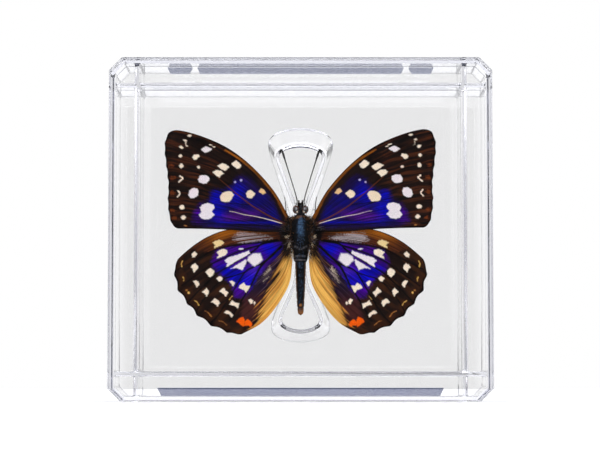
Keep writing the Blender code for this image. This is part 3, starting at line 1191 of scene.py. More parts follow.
@dataclass
class Forewing(Wing):
    """Dark brown outside and blue-violet inside, with pale spots in slanting rows."""

    kind: str = "forewing"
    leading: tuple[Point, ...] = ((4.0, 6.0), (10.0, 16.1), (19.6, 26.1), (30.1, 32.7), (43.6, 36.8))
    trailing: tuple[Point, ...] = ((4.8, 0.9), (14.2, 0.8), (24.0, 1.5), (34.0, 1.9), (43.0, 2.0))
    root: tuple[Point, ...] = ((4.0, 6.0), (4.5, 3.4), (4.8, 0.9))
    margin: tuple[Point, ...] = (
        (43.6, 36.8),
        (46.5, 35.8),
        (47.9, 32.3),
        (47.9, 28.4),
        (47.4, 24.2),
        (46.9, 20.2),
        (46.6, 16.5),
        (46.8, 12.6),
        (46.6, 8.9),
        (45.7, 4.6),
        (43.0, 2.0),
    )
    scallop: float = 0.3
    rest: float = -0.55
    arch: float = -0.50
    arch_edge: float = 0.0
    leading_end: Point = (55.0, 35.4)
    margin_lead: Point = (40.2, 36.3)
    margin_trail: Point = (36.5, 3.0)
    seed: int = 11
    veins: tuple[Streak, ...] = (
        Streak((
            (5.7, 3.8), (11.1, 6.4), (16.3, 9.5), (18.1, 10.8), (22.7, 14.4), (24.2, 15.7), (26.6, 17.8),
            (29.3, 20.1),
        ), (0.6, 0.3), Tone.BARK, 0.25, 0.9),
        Streak(((18.1, 10.4), (21.1, 10.6), (26.6, 11.2), (30.1, 11.4)), (0.3, 0.2), Tone.SOOT, 0.2, 0.9),
        Streak(((8.5, 2.8), (17.8, 3.2), (26.6, 3.7), (38.8, 3.9)), (0.35, 0.25), Tone.SOOT, 0.2, 0.9),
        Streak((
            (6.6, 3.8), (12.2, 5.4), (16.3, 6.3), (19.9, 6.9), (23.2, 7.8), (25.1, 8.1),
        ), (0.3, 0.12), Tone.BUFF, 0.15, 0.9),
    )
    costal: Streak = Streak((
        (26.6, 29.6), (21.4, 26.5), (16.3, 22.4), (12.2, 18.0), (8.5, 13.3), (4.4, 5.6),
    ), (0.6, 1.4), Tone.OCHRE, 0.5, 0.65)
    blue_area: Patch = Patch((
        (11.6, 14.6), (14.8, 16.4), (17.8, 19.9), (20.1, 20.8), (23.0, 19.9), (23.6, 17.0), (27.1, 15.8),
        (31.2, 15.2), (32.1, 12.3), (35.3, 10.8), (37.1, 7.9), (38.3, 4.1), (34.2, 2.6), (17.2, 2.0),
        (5.5, 2.6),
    ), Tone.NIGHT, 2.6)
    glows: tuple[Spot, ...] = (
        Spot((28.3, 6.4), (10.54, 6.44), Tone.INDIGO, softness=6.1),
        Spot((29.9, 13.5), (3.81, 4.98), Tone.ROYAL, softness=3.6),
        Spot((22.3, 14.0), (5.56, 6.73), Tone.ROYAL, softness=5.3),
        Spot((36.5, 7.2), (4.68, 6.15), Tone.VIOLET, softness=4.4),
        Spot((28.9, 8.0), (4.39, 5.56), Tone.ROYAL, softness=4.2),
        Spot((19.9, 7.0), (12.29, 3.22), Tone.PURPLE, -8, softness=3.1),
        Spot((9.1, 7.0), (8.78, 7.61), Tone.INDIGO, -35, softness=7.2),
        Spot((15.8, 11.1), (8.78, 4.39), Tone.INDIGO, -35, softness=4.2),
    )
    marks: tuple[Mark, ...] = (
        Spot((39.1, 34.8), (1.4, 0.76), Tone.CREAM, 8),
        Spot((40.7, 33.1), (1.17, 0.7), Tone.CREAM, 15),
        Streak((
            (40.3, 32.5), (40.5, 32.1), (40.4, 31.4), (39.9, 31.1),
        ), (0.3, 0.3), Tone.CREAM, 0.2, 0.85),
        Spot((42.0, 30.7), (1.4, 1.0), Tone.CREAM, 20),
        Spot((42.3, 27.6), (1.23, 1.23), Tone.CREAM, 0, 1.6),
        Spot((42.0, 24.1), (1.4, 1.64), Tone.CREAM, 10, 1.8),
        Streak(((42.4, 20.5), (41.5, 19.7), (42.9, 18.4)), (0.55, 0.4), Tone.CREAM),
        Streak(((43.1, 15.3), (42.4, 14.3), (43.3, 13.1)), (0.5, 0.35), Tone.CREAM),
        Spot((41.7, 9.5), (1.76, 1.58), Tone.CREAM),
        Spot((41.2, 5.9), (1.7, 1.46), Tone.CREAM, 0, 1.7),
        Spot((40.4, 3.0), (0.94, 0.41), Tone.TAN),
        Patch((
            (35.1, 29.9), (33.4, 31.0), (31.2, 30.1), (31.8, 29.5), (33.4, 28.7), (34.3, 29.1),
        ), Tone.PALE),
        Streak(((32.1, 31.6), (31.2, 31.4)), (0.3, 0.3), Tone.CREAM),
        Streak(((31.0, 30.9), (30.2, 30.7)), (0.3, 0.3), Tone.CREAM),
        Patch((
            (38.1, 27.2), (37.5, 28.0), (35.9, 28.2), (35.6, 27.5), (36.8, 26.3), (37.7, 26.4),
        ), Tone.CREAM),
        Spot((35.9, 23.6), (0.94, 0.94), Tone.CREAM),
        Patch(((29.4, 24.1), (27.3, 25.1), (25.0, 23.7), (26.4, 22.4), (27.7, 22.8)), Tone.CREAM),
        Patch((
            (30.9, 21.8), (29.8, 22.6), (28.0, 22.4), (26.9, 21.4), (27.9, 20.9), (28.5, 20.0),
            (30.1, 20.9),
        ), Tone.CREAM),
        Patch((
            (36.1, 19.3), (35.3, 20.7), (33.6, 20.8), (32.2, 20.2), (32.1, 19.2), (33.1, 17.9),
            (34.5, 17.8), (35.7, 18.3),
        ), Tone.PALE),
        Patch((
            (39.5, 13.8), (39.0, 15.5), (37.7, 16.3), (36.3, 16.1), (35.9, 14.9), (36.2, 13.6),
            (37.4, 12.8), (38.8, 12.8),
        ), Tone.PALE),
        Patch((
            (28.4, 13.2), (27.5, 14.4), (26.0, 15.1), (24.2, 15.0), (23.5, 13.9), (24.4, 12.1),
            (25.1, 11.4), (27.1, 11.4), (28.0, 11.9),
        ), Tone.BUFF),
        Patch((
            (35.4, 9.4), (34.6, 10.4), (32.7, 11.0), (30.7, 10.5), (30.2, 9.4), (31.3, 8.0), (30.2, 6.9),
            (31.7, 5.5), (33.4, 5.2), (34.9, 5.6), (35.8, 6.8), (34.8, 7.9),
        ), Tone.PALE),
        Patch((
            (24.4, 24.9), (22.7, 26.1), (20.8, 24.4), (21.3, 23.4), (22.3, 23.0), (23.6, 23.9),
        ), Tone.CREAM),
        Patch((
            (19.3, 14.3), (18.5, 15.2), (17.5, 15.6), (15.8, 14.3), (16.7, 13.2), (17.5, 12.5),
            (18.8, 13.1),
        ), Tone.BUFF),
        Patch(((14.7, 15.0), (13.8, 16.2), (12.9, 15.7), (12.1, 14.5), (13.3, 14.0)), Tone.APRICOT),
        Spot((23.0, 18.3), (0.76, 0.59), Tone.LILAC, -40),
        Spot((20.9, 19.0), (0.82, 0.76), Tone.LILAC),
    )
    smudges: tuple[Point, ...] = ((45.5, 24.2), (45.0, 19.8), (45.0, 14.6), (44.9, 8.4), (44.2, 5.6))
    smudge_size: Point = (1.76, 1.19)
    smudge_softness: float = 0.3

    def _upper(self, at: Places) -> Array:
        """Colours of the upper side.

        Args:
            at: The places.

        Returns:
            One linear colour for each place.
        """
        u, v, across, outwards = at
        tones = np.broadcast_to(linear(Tone.UMBER), (*u.shape, 3)).copy()
        wave = 0.012 * (self._grain(9).at(u * 0.3 + 20.0, v * 0.2 + 20.0) - 0.5)
        wave += 0.004 * np.sin(u * 0.8 + 9.0 * across)
        lines = self._streaks(across + wave, outwards, 5.0, 6.0, 1)
        outer = ease(27.0, 37.0, u + 0.15 * v)
        tones = wash(tones, Tone.BARK, 0.62 * ease(0.45, 0.8, lines) * outer)
        dark = self._streaks(across + wave, outwards, 9.0, 5.0, 7)
        tones = wash(tones, Tone.SOOT, 0.75 * ease(0.5, 0.75, dark))
        ragged = self._ragged(u, v)
        for place in self.smudges:
            smudge = Spot(place, self.smudge_size, Tone.RUST, softness=self.smudge_softness)
            tones = wash(tones, smudge.tone, 0.75 * smudge.cover(u, v, ragged * 3))
        tones = lay(tones, self._cells_lines(0.5, 0.3, Tone.SOOT, 0.7), u, v, ragged * 0)

        area = self.blue_area.cover(u, v, ragged * 4)
        inner = np.broadcast_to(linear(Tone.NIGHT), (*u.shape, 3))
        inner = lay(inner, self.glows, u, v, ragged * 3)
        line = ease(0.5, 0.1, np.abs(v - 4.1)) * ease(31.0, 27.0, u)
        inner = wash(inner, Tone.ROYAL, line * 0.7)
        inner = inner * (0.1 + 1.6 * self._streaks(across, outwards, 9.0, 5.0, 2))[..., None]
        threads = self._streaks(across, outwards, 22.0, 4.0, 8)
        inner = inner * (0.5 + 1.1 * ease(0.25, 0.75, threads))[..., None]
        inner = wash(inner, Tone.SOOT, ease(9.0, 5.0, u) * 0.75)
        tones = tones * (1 - area[..., None]) + inner * area[..., None]

        fine = self._streaks(across, outwards, 55.0, 1.5, 3)
        cover = self.costal.cover(u, v, ragged) * (0.2 + 0.8 * ease(0.4, 0.6, fine))
        tones = wash(tones, Tone.OCHRE, cover)
        tones = lay(tones, self.veins, u, v, ragged * 0.2)
        tones = lay(tones, self.marks, u, v, ragged)
        border = np.maximum(ease(0.02, 0.006, across), 0.8 * ease(0.985, 0.995, outwards))
        border = np.maximum(border, ease(0.965, 0.985, across))
        return wash(tones, Tone.SOOT, border * 0.95)

    def _under(self, at: Places) -> Array:
        """Colours of the underside.

        Args:
            at: The places.

        Returns:
            One linear colour for each place.
        """
        u, v, across, outwards = at
        tones = np.broadcast_to(linear(Tone.OLIVE), (*u.shape, 3)).copy()
        lines = self._streaks(across, outwards, 5.0, 6.0, 4)
        tones = wash(tones, Tone.PEARL, 0.8 * ease(0.3, 0.7, lines) * ease(0.3, 0.8, outwards))
        ragged = self._ragged(u, v)
        tones = wash(tones, Tone.SLATE, 0.85 * self.blue_area.cover(u, v, ragged * 3))
        tones = lay(tones, self._cells_lines(0.1, 0.3, Tone.BARK, 0.8), u, v, ragged * 0)
        return lay(tones, self.marks, u, v, ragged)


@dataclass
class Hindwing(Wing):
    """Blue-violet with black veins, a tan inner margin, pale spots and an orange corner."""

    kind: str = "hindwing"
    leading: tuple[Point, ...] = ((4.8, 1.6), (14.5, 2.2), (24.5, 2.0), (34.2, -1.6), (43.1, -8.6))
    trailing: tuple[Point, ...] = ((2.85, -9.2), (4.0, -17.3), (8.3, -25.0), (13.8, -31.2), (20.7, -35.1))
    root: tuple[Point, ...] = ((4.8, 1.6), (4.6, -2.2), (4.0, -5.6), (2.85, -9.2))
    margin: tuple[Point, ...] = (
        (43.1, -8.6),
        (44.5, -14.0),
        (43.2, -19.7),
        (39.9, -24.5),
        (36.4, -28.6),
        (31.5, -32.2),
        (25.8, -34.6),
        (20.7, -35.1),
    )
    scallop: float = 0.8
    rest: float = 0.50
    arch: float = 0.40
    arch_edge: float = 1.0
    leading_end: Point = (50.5, -17.5)
    margin_lead: Point = (39.6, -4.4)
    margin_trail: Point = (17.6, -33.6)
    seed: int = 23
    veins: tuple[Streak, ...] = (
        Streak((
            (6.8, -4.2), (10.3, -7.6), (13.1, -10.2), (15.0, -13.0), (17.6, -18.2), (20.2, -22.4),
            (22.7, -26.6), (24.9, -30.4),
        ), (0.95, 0.5), Tone.SOOT, 0.25),
        Streak((
            (13.1, -10.2), (16.7, -11.5), (19.5, -13.2), (22.6, -18.1), (25.8, -23.6), (28.7, -28.1),
            (31.4, -31.0),
        ), (0.6, 0.45), Tone.SOOT, 0.25),
        Streak((
            (19.5, -13.2), (23.7, -14.7), (27.3, -15.8), (31.4, -19.6), (35.2, -24.6), (37.2, -28.7),
        ), (0.5, 0.4), Tone.SOOT, 0.25),
        Streak((
            (7.9, -2.2), (13.5, -3.3), (15.5, -5.0), (17.8, -6.6), (22.0, -9.1), (25.5, -11.4),
            (29.6, -14.0), (35.2, -19.3), (39.3, -23.7),
        ), (0.7, 0.45), Tone.SOOT, 0.25),
        Streak((
            (14.4, -3.8), (19.9, -5.4), (25.5, -7.6), (30.8, -10.2), (36.6, -14.3), (41.9, -18.1),
        ), (0.5, 0.4), Tone.SOOT, 0.25),
        Streak((
            (8.2, -1.9), (15.8, -3.0), (25.5, -4.2), (31.6, -6.1), (37.2, -9.4), (43.1, -12.3),
        ), (0.55, 0.4), Tone.SOOT, 0.3),
        Streak((
            (5.3, -6.1), (9.1, -12.9), (11.7, -18.7), (14.1, -24.6), (16.7, -32.2),
        ), (0.4, 0.3), Tone.UMBER, 0.4, 0.8),
    )
    blue_area: Patch = Patch((
        (6.8, -2.8), (13.5, -2.8), (19.9, -3.5), (25.5, -4.4), (29.3, -5.3), (31.4, -9.7), (29.9, -12.9),
        (27.3, -14.6), (24.9, -17.0), (23.7, -19.6), (22.9, -22.2), (19.9, -22.2), (17.6, -19.6),
        (15.3, -15.2), (12.6, -12.3), (9.1, -8.8), (6.2, -5.0),
    ), Tone.VIOLET, 1.6)
    dusk_area: Patch = Patch((
        (6.2, -5.0), (9.1, -8.8), (12.6, -12.3), (15.3, -15.2), (17.6, -19.6), (19.9, -22.8),
        (21.1, -28.7), (16.1, -31.6), (14.7, -28.1), (12.6, -22.8), (10.3, -17.6), (7.9, -12.3),
        (5.0, -6.7),
    ), Tone.DUSK, 1.8)
    tan_area: Patch = Patch((
        (3.5, -5.0), (5.3, -7.3), (7.9, -12.3), (10.3, -17.6), (12.6, -22.8), (14.7, -28.1), (16.1, -32.8),
        (5.0, -34.5), (-0.8, -14.0), (-0.3, -2.3),
    ), Tone.HONEY, 2.0)
    fluff: Patch = Patch((
        (10.9, -11.3), (11.7, -12.3), (13.1, -15.2), (13.4, -16.7), (11.7, -15.2), (10.6, -12.9),
    ), Tone.APRICOT, 1.4, 0.8)
    band: Patch = Patch((
        (7.4, -1.9), (15.8, -2.8), (25.5, -3.8), (31.1, -5.9), (35.2, -6.1), (40.7, -3.2), (35.2, 1.8),
        (25.5, 5.3), (7.4, 5.3),
    ), Tone.BROWN, 1.0)
    sheen: Patch = Patch((
        (22.3, 0.4), (18.8, 0.7), (13.2, -0.3), (10.3, -1.3), (15.8, -2.3), (20.5, -2.8), (23.7, -2.0),
    ), Tone.PALE, 1.8, 0.85)
    glows: tuple[Spot, ...] = (
        Spot((21.8, -14.8), (9.66, 4.98), Tone.ROYAL, 20, softness=4.7),
        Spot((22.0, -15.2), (6.44, 4.39), Tone.ROYAL, 25, softness=4.2),
        Spot((10.3, -5.3), (9.66, 4.98), Tone.ROYAL, 35, softness=4.7),
        Spot((15.8, -14.0), (5.85, 5.85), Tone.IRIS, 40, softness=5.6),
        Spot((26.4, -12.8), (6.44, 3.22), Tone.ROYAL, 20, softness=3.1),
        Spot((16.7, -16.7), (3.51, 4.98), Tone.ROYAL, -30, softness=3.3),
    )
    marks: tuple[Mark, ...] = (
        Patch((
            (31.0, -2.9), (30.2, -2.4), (28.8, -1.9), (27.5, -2.2), (26.9, -2.9), (27.5, -3.6),
            (28.8, -4.2), (30.4, -4.9), (30.5, -4.3), (29.9, -3.8),
        ), Tone.YELLOW),
        Patch((
            (29.5, -6.3), (28.2, -5.4), (27.0, -5.1), (25.9, -5.5), (25.7, -6.2), (26.1, -7.1),
            (27.6, -7.8), (29.4, -8.6), (29.4, -7.9), (28.7, -7.5),
        ), Tone.CREAM),
        Patch(((38.3, -7.0), (37.3, -5.9), (36.3, -6.9), (37.1, -7.9), (38.0, -8.1)), Tone.CREAM),
        Patch((
            (38.6, -11.6), (38.0, -10.7), (37.1, -10.2), (36.2, -11.0), (36.0, -11.9), (37.5, -13.4),
            (37.9, -12.2),
        ), Tone.CREAM),
        Patch((
            (37.7, -16.4), (36.8, -16.1), (35.9, -16.7), (35.5, -17.7), (36.5, -18.7), (36.9, -17.8),
        ), Tone.CREAM),
        Patch((
            (34.6, -20.3), (33.7, -19.6), (33.0, -18.9), (32.2, -19.9), (32.3, -20.8), (33.0, -21.9),
            (33.5, -20.9),
        ), Tone.CREAM),
        Patch((
            (33.3, -13.3), (32.6, -12.3), (31.6, -11.8), (30.4, -12.8), (30.5, -13.9), (31.9, -15.2),
            (32.5, -14.5),
        ), Tone.CREAM),
        Patch(((29.6, -15.5), (28.3, -14.6), (27.3, -15.4), (27.8, -16.3), (28.6, -16.6)), Tone.CREAM),
        Patch((
            (25.0, -16.6), (24.2, -16.2), (23.0, -17.0), (23.6, -18.1), (24.1, -18.1), (24.3, -17.4),
        ), Tone.CREAM),
        Patch((
            (28.5, -20.1), (27.0, -18.6), (26.4, -19.6), (25.4, -20.4), (26.3, -22.0), (27.0, -21.0),
        ), Tone.CREAM),
        Patch((
            (31.4, -23.8), (30.1, -22.5), (28.7, -23.3), (28.4, -24.2), (29.1, -25.4), (29.8, -24.5),
        ), Tone.CREAM),
        Patch((
            (25.0, -24.7), (24.1, -23.2), (22.9, -24.0), (21.5, -24.3), (22.0, -26.1), (23.2, -25.1),
        ), Tone.CREAM),
        Patch((
            (26.9, -27.5), (25.9, -26.7), (24.6, -27.3), (23.6, -28.4), (24.2, -29.2), (25.0, -28.2),
            (26.1, -27.9),
        ), Tone.CREAM),
        Patch((
            (21.8, -18.7), (21.1, -17.7), (19.9, -17.0), (19.2, -18.0), (17.8, -18.1), (18.3, -19.3),
            (19.1, -20.5), (19.9, -19.5), (21.1, -19.2),
        ), Tone.CREAM),
        Patch((
            (22.5, -30.7), (21.7, -29.5), (20.2, -28.9), (19.6, -30.0), (19.6, -30.9), (19.9, -32.5),
            (20.7, -32.1), (21.5, -31.3),
        ), Tone.ORANGE),
        Patch((
            (19.6, -30.7), (18.6, -29.7), (17.4, -30.6), (17.0, -31.6), (17.5, -32.8), (18.3, -32.0),
            (19.8, -32.1),
        ), Tone.ORANGE),
        Patch(((18.3, -23.0), (17.5, -22.6), (16.7, -23.3), (17.0, -24.4), (17.6, -24.5)), Tone.CREAM),
        Patch(((16.6, -24.0), (16.1, -23.6), (15.8, -24.1), (16.2, -24.9)), Tone.CREAM),
        Spot((21.0, -5.1), (1.46, 0.53), Tone.PALE),
        Patch((
            (26.8, -9.2), (25.5, -8.2), (21.4, -6.9), (18.2, -5.7), (17.8, -6.6), (18.8, -7.3),
            (22.6, -9.4), (25.5, -11.2), (26.2, -11.4), (25.7, -10.2),
        ), Tone.PALE, 0.3),
        Patch((
            (24.6, -12.1), (22.0, -10.4), (19.1, -8.7), (19.0, -9.4), (19.5, -10.8), (20.5, -12.7),
            (21.3, -12.2), (22.7, -11.8),
        ), Tone.PALE, 0.3),
        Patch((
            (18.8, -9.1), (18.2, -7.8), (16.7, -6.8), (14.2, -6.6), (13.6, -8.2), (13.3, -8.9),
            (14.5, -10.0), (16.1, -11.2), (17.0, -10.8), (17.8, -9.8),
        ), Tone.PALE, 0.7),
        Streak(((41.5, -9.4), (41.9, -10.3), (41.7, -11.3)), (0.3, 0.25), Tone.SAND, 0.2, 0.9),
        Streak(((41.3, -15.1), (41.0, -15.6), (41.1, -16.3)), (0.3, 0.25), Tone.SAND, 0.2, 0.8),
        Spot((40.1, -19.7), (0.7, 0.59), Tone.TAN),
        Spot((39.3, -20.5), (0.64, 0.76), Tone.SAND),
        Streak(((37.2, -23.3), (36.3, -23.9), (35.7, -24.9)), (0.25, 0.3), Tone.SAND, 0.2, 0.8),
        Streak(((33.6, -26.9), (32.3, -27.6), (31.3, -28.9)), (0.25, 0.3), Tone.TAN, 0.2, 0.9),
        Streak(((28.5, -30.4), (27.3, -30.7), (26.0, -31.8)), (0.25, 0.3), Tone.TAN, 0.2, 0.8),
        Streak(((25.0, -22.9), (24.5, -22.2), (24.0, -21.7)), (0.3, 0.15), Tone.SAND, 0.2, 0.7),
    )

    def _upper(self, at: Places) -> Array:
        """Colours of the upper side.

        Args:
            at: The places.

        Returns:
            One linear colour for each place.
        """
        u, v, across, outwards = at
        tones = np.broadcast_to(linear(Tone.UMBER), (*u.shape, 3)).copy()
        lines = self._streaks(across, outwards, 5.0, 8.0, 1)
        tones = wash(tones, Tone.BROWN, 0.9 * ease(0.4, 0.7, lines) * ease(0.3, 0.6, outwards))
        cells = len(self.margin) - 1
        lobe = np.abs(np.sin(math.pi * cells * across)) * ease(0.9, 0.95, outwards)
        tones = wash(tones, Tone.BROWN, 0.8 * lobe)
        ragged = self._ragged(u, v)
        fine = self._streaks(across, outwards, 12.0, 3.5, 2)

        band = self.band.cover(u, v, ragged * 3)
        tones = wash(tones, Tone.BARK, band * (0.3 + 0.7 * ease(0.35, 0.65, fine)))
        upper = ease(0.12, 0.03, across) * ease(0.8, 0.55, outwards) * ease(0.05, 0.25, outwards)
        tones = wash(tones, Tone.OCHRE, band * upper * (0.5 + 0.5 * fine))
        thin = self._streaks(across, outwards, 34.0, 2.5, 9)
        sheen = self.sheen.cover(u, v, ragged * 5) * ease(0.35, 0.7, thin)
        tones = wash(tones, Tone.PALE, sheen * 0.95)
        tones = wash(tones, Tone.UMBER, band * ease(0.55, 0.72, thin) * 0.6)

        dusk = self.dusk_area.cover(u, v, (fine - 0.5) * 3)
        tones = wash(tones, Tone.DUSK, dusk)
        tones = wash(tones, Tone.MAUVE, dusk * ease(0.55, 0.85, fine) * ease(-24.0, -12.0, v) * 0.7)
        tones = wash(tones, Tone.BARK, dusk * ease(-18.0, -26.0, v) * 0.5)

        area = self.blue_area.cover(u, v, ragged * 4)
        inner = np.broadcast_to(linear(Tone.VIOLET), (*u.shape, 3))
        inner = lay(inner, self.glows, u, v, ragged * 3)
        inner = inner * (0.2 + 1.5 * self._streaks(across, outwards, 9.0, 5.0, 3))[..., None]
        threads = self._streaks(across, outwards, 26.0, 4.0, 8)
        inner = inner * (0.55 + 0.9 * ease(0.25, 0.75, threads))[..., None]
        tones = tones * (1 - area[..., None]) + inner * area[..., None]

        tones = wash(tones, Tone.SOOT, dusk * ease(0.5, 0.7, thin) * 0.6)
        tan = self.tan_area.cover(u, v, (fine - 0.5) * 7)
        tones = wash(tones, Tone.HONEY, tan)
        tones = wash(tones, Tone.SAND, tan * ease(0.3, 0.6, fine))
        shade = self._streaks(across, outwards, 9.0, 2.5, 6)
        inside = ease(0.80, 0.93, across)
        tones = wash(tones, Tone.BARK, tan * ease(0.5, 0.72, shade) * (0.8 - 0.55 * inside))
        tones = wash(tones, Tone.UMBER, tan * ease(0.6, 0.8, thin) * (0.8 - 0.7 * inside))
        fluff = self.fluff.cover(u, v, ragged * 5) * ease(0.3, 0.8, thin)
        tones = wash(tones, Tone.BUFF, fluff * 0.85)
        tones = lay(tones, self.veins, u, v, ragged * 0.2)
        tones = lay(tones, self.marks, u, v, ragged)
        border = ease(0.98, 0.992, outwards) * ease(1.0, 0.93, across)
        border = np.maximum(border, ease(0.015, 0.004, across))
        return wash(tones, Tone.SOOT, border * 0.9)

    def _under(self, at: Places) -> Array:
        """Colours of the underside.

        Args:
            at: The places.

        Returns:
            One linear colour for each place.
        """
        u, v, across, outwards = at
        tones = np.broadcast_to(linear(Tone.PEARL), (*u.shape, 3)).copy()
        lines = self._streaks(across, outwards, 5.0, 6.0, 4)
        tones = wash(tones, Tone.OLIVE, 0.5 * ease(0.5, 0.8, lines))
        ragged = self._ragged(u, v)
        tones = wash(tones, Tone.SAND, 0.5 * self.tan_area.cover(u, v, ragged * 2))
        tones = lay(tones, self._cells_lines(0.1, 0.3, Tone.BARK, 0.7), u, v, ragged * 0)
        return lay(tones, self.marks, u, v, ragged)


# Insect


class HairPile:
    """Many tapered, slightly bent hairs in one mesh."""

    def __init__(self, rng: np.random.Generator) -> None:
        """Start an empty pile with a seeded source of chance.

        Args:
            rng: A seeded source of chance.
        """
        self.rng = rng
        self.points: list[Array] = []
        self.tones: list[Array] = []

    def add(self, roots: Array, lean: Array, lengths: Array, radius: float, tones: Array) -> None:
        """Add hairs.

        Args:
            roots: Where they grow from, in millimetres.
            lean: Which way they point.
            lengths: Their lengths in millimetres.
            radius: Their radius at the root in millimetres.
            tones: Linear colours, one row for each.
        """
        count = len(roots)
        way = lean + self.rng.normal(0.0, 0.22, (count, 3))
        way /= np.linalg.norm(way, axis=1)[:, None]
        bow = self.rng.normal(0.0, 0.18, (count, 3))
        across = np.cross(way, (0.0, 1.0, 0.3))
        across /= np.linalg.norm(across, axis=1)[:, None]
        beside = np.cross(way, across)
        rings = []
        for share, thick in ((0.0, 1.0), (0.35, 0.85), (0.7, 0.55), (1.0, 0.12)):
            middle = roots + way * (lengths * share)[:, None] + bow * (lengths * share**2)[:, None]
            for corner in range(3):
                angle = corner * 2 * math.pi / 3
                out = across * math.cos(angle) + beside * math.sin(angle)
                rings.append(middle + out * radius * thick)
        self.points.append(np.stack(rings, 1))
        self.tones.append(np.repeat(tones, 12, axis=0))

    def finish(self, name: str) -> Mesh:
        """The mesh of all hairs.

        Args:
            name: The mesh's name.

        Returns:
            A painted mesh.
        """
        points = np.vstack(self.points)
        faces = []
        for hair in range(len(points)):
            first = hair * 12
            for ring in range(3):
                a = first + ring * 3
                for i in range(3):
                    j = (i + 1) % 3
                    faces.append((a + i, a + j, a + 3 + j, a + 3 + i))
            faces.append((first + 2, first + 1, first))
            faces.append((first + 9, first + 10, first + 11))
        return painted_mesh(name, points.reshape(-1, 3), faces, np.vstack(self.tones))


@dataclass(frozen=True)
class Tuft:
    """A tuft of hairs on the right side, in millimetres."""

    place: Place
    spread: Place
    lean: Place
    lengths: Point
    count: int
    tone: Tone
    radius: float = 0.045

    def grow(self, pile: HairPile, rng: np.random.Generator, side: Side) -> None:
        """Add the tuft's hairs to a pile.

        Args:
            pile: The pile.
            rng: A seeded source of chance.
            side: The side that the tuft is on.
        """
        roots = np.array(self.place) + rng.normal(0.0, 1.0, (self.count, 3)) * self.spread
        lean = np.array(self.lean) + rng.normal(0.0, 0.25, (self.count, 3))
        roots[:, 0] *= side.value
        lean[:, 0] *= side.value
        lengths = rng.uniform(*self.lengths, self.count)
        shades = linear(self.tone) * rng.uniform(0.45, 1.15, (self.count, 1))
        pile.add(roots, lean, lengths, self.radius, shades)


TUFTS = (
    Tuft((3.8, -1.6, 62.9), (0.35, 0.2, 0.6), (0.5, -0.1, 0.8), (0.6, 1.3), 130, Tone.HAIR_DARK, 0.1),
    Tuft((3.8, -1.8, 62.9), (0.4, 0.2, 0.6), (0.5, -0.1, 0.8), (0.6, 1.4), 36, Tone.HAIR_BROWN, 0.09),
    Tuft((3.3, -1.5, 53.4), (0.3, 0.2, 1.2), (0.5, -0.1, -0.5), (0.6, 1.3), 90, Tone.HAIR_DARK, 0.1),
    Tuft((4.4, -2.3, 60.3), (0.35, 0.2, 1.5), (0.6, -0.1, 0.2), (0.6, 1.4), 120, Tone.HAIR_DARK, 0.1),
    Tuft((4.4, -2.3, 60.8), (0.5, 0.2, 1.5), (0.7, -0.1, 0.3), (0.6, 1.4), 26, Tone.HAIR_BROWN, 0.1),
    Tuft((4.5, -2.3, 60.2), (0.3, 0.1, 1.0), (0.1, -0.1, 1.0), (0.8, 1.5), 12, Tone.ASH, 0.08),
    Tuft((3.9, -1.9, 56.3), (0.4, 0.2, 1.6), (0.8, -0.1, -0.4), (0.6, 1.6), 170, Tone.HAIR_DARK, 0.1),
    Tuft((3.9, -2.1, 56.0), (0.5, 0.2, 1.6), (0.8, -0.1, -0.6), (0.6, 1.8), 50, Tone.HAIR_BROWN, 0.09),
    Tuft((4.8, -2.3, 57.6), (0.22, 0.1, 0.3), (0.6, -0.1, 0.4), (0.5, 0.9), 16, Tone.HAIR_CREAM, 0.13),
    Tuft((4.1, -2.2, 55.0), (0.2, 0.1, 0.5), (0.4, -0.1, -0.8), (0.6, 1.1), 12, Tone.HAIR_CREAM, 0.12),
    Tuft((4.1, -2.2, 56.4), (0.5, 0.1, 0.9), (0.9, -0.1, -0.4), (0.9, 1.9), 16, Tone.ASH, 0.08),
    Tuft((5.0, -1.9, 59.6), (0.5, 0.1, 0.6), (1.0, -0.05, 0.0), (1.2, 4.0), 60, Tone.HAIR_DARK, 0.08),
    Tuft((5.0, -2.0, 59.9), (0.5, 0.1, 0.6), (1.0, -0.05, 0.1), (1.0, 3.5), 16, Tone.ASH, 0.06),
    Tuft((4.8, -1.9, 61.5), (0.4, 0.1, 0.5), (0.8, -0.05, 0.6), (0.8, 2.6), 30, Tone.HAIR_BROWN, 0.06),
    Tuft((4.2, -1.5, 53.9), (0.5, 0.1, 0.8), (0.6, -0.1, -1.0), (1.5, 4.5), 80, Tone.HAIR_DARK, 0.08),
    Tuft((4.0, -1.6, 53.3), (0.5, 0.1, 0.8), (0.5, -0.1, -1.0), (1.2, 4.0), 34, Tone.HAIR_BROWN, 0.07),
    Tuft((3.2, -1.4, 51.8), (0.2, 0.1, 0.8), (0.25, -0.1, -1.0), (1.0, 2.6), 30, Tone.APRICOT, 0.06),
    Tuft((2.3, -1.7, 64.4), (0.6, 0.2, 0.3), (0.3, -0.3, 0.9), (0.4, 0.9), 60, Tone.HAIR_DARK, 0.08),
    Tuft((2.5, -1.8, 64.0), (0.6, 0.2, 0.3), (0.3, -0.3, 0.9), (0.4, 1.0), 40, Tone.HAIR_BROWN, 0.08),
    Tuft((0.9, -1.4, 69.0), (0.5, 0.2, 0.4), (0.3, -0.3, 1.0), (0.4, 1.0), 40, Tone.HAIR_DARK, 0.07),
)


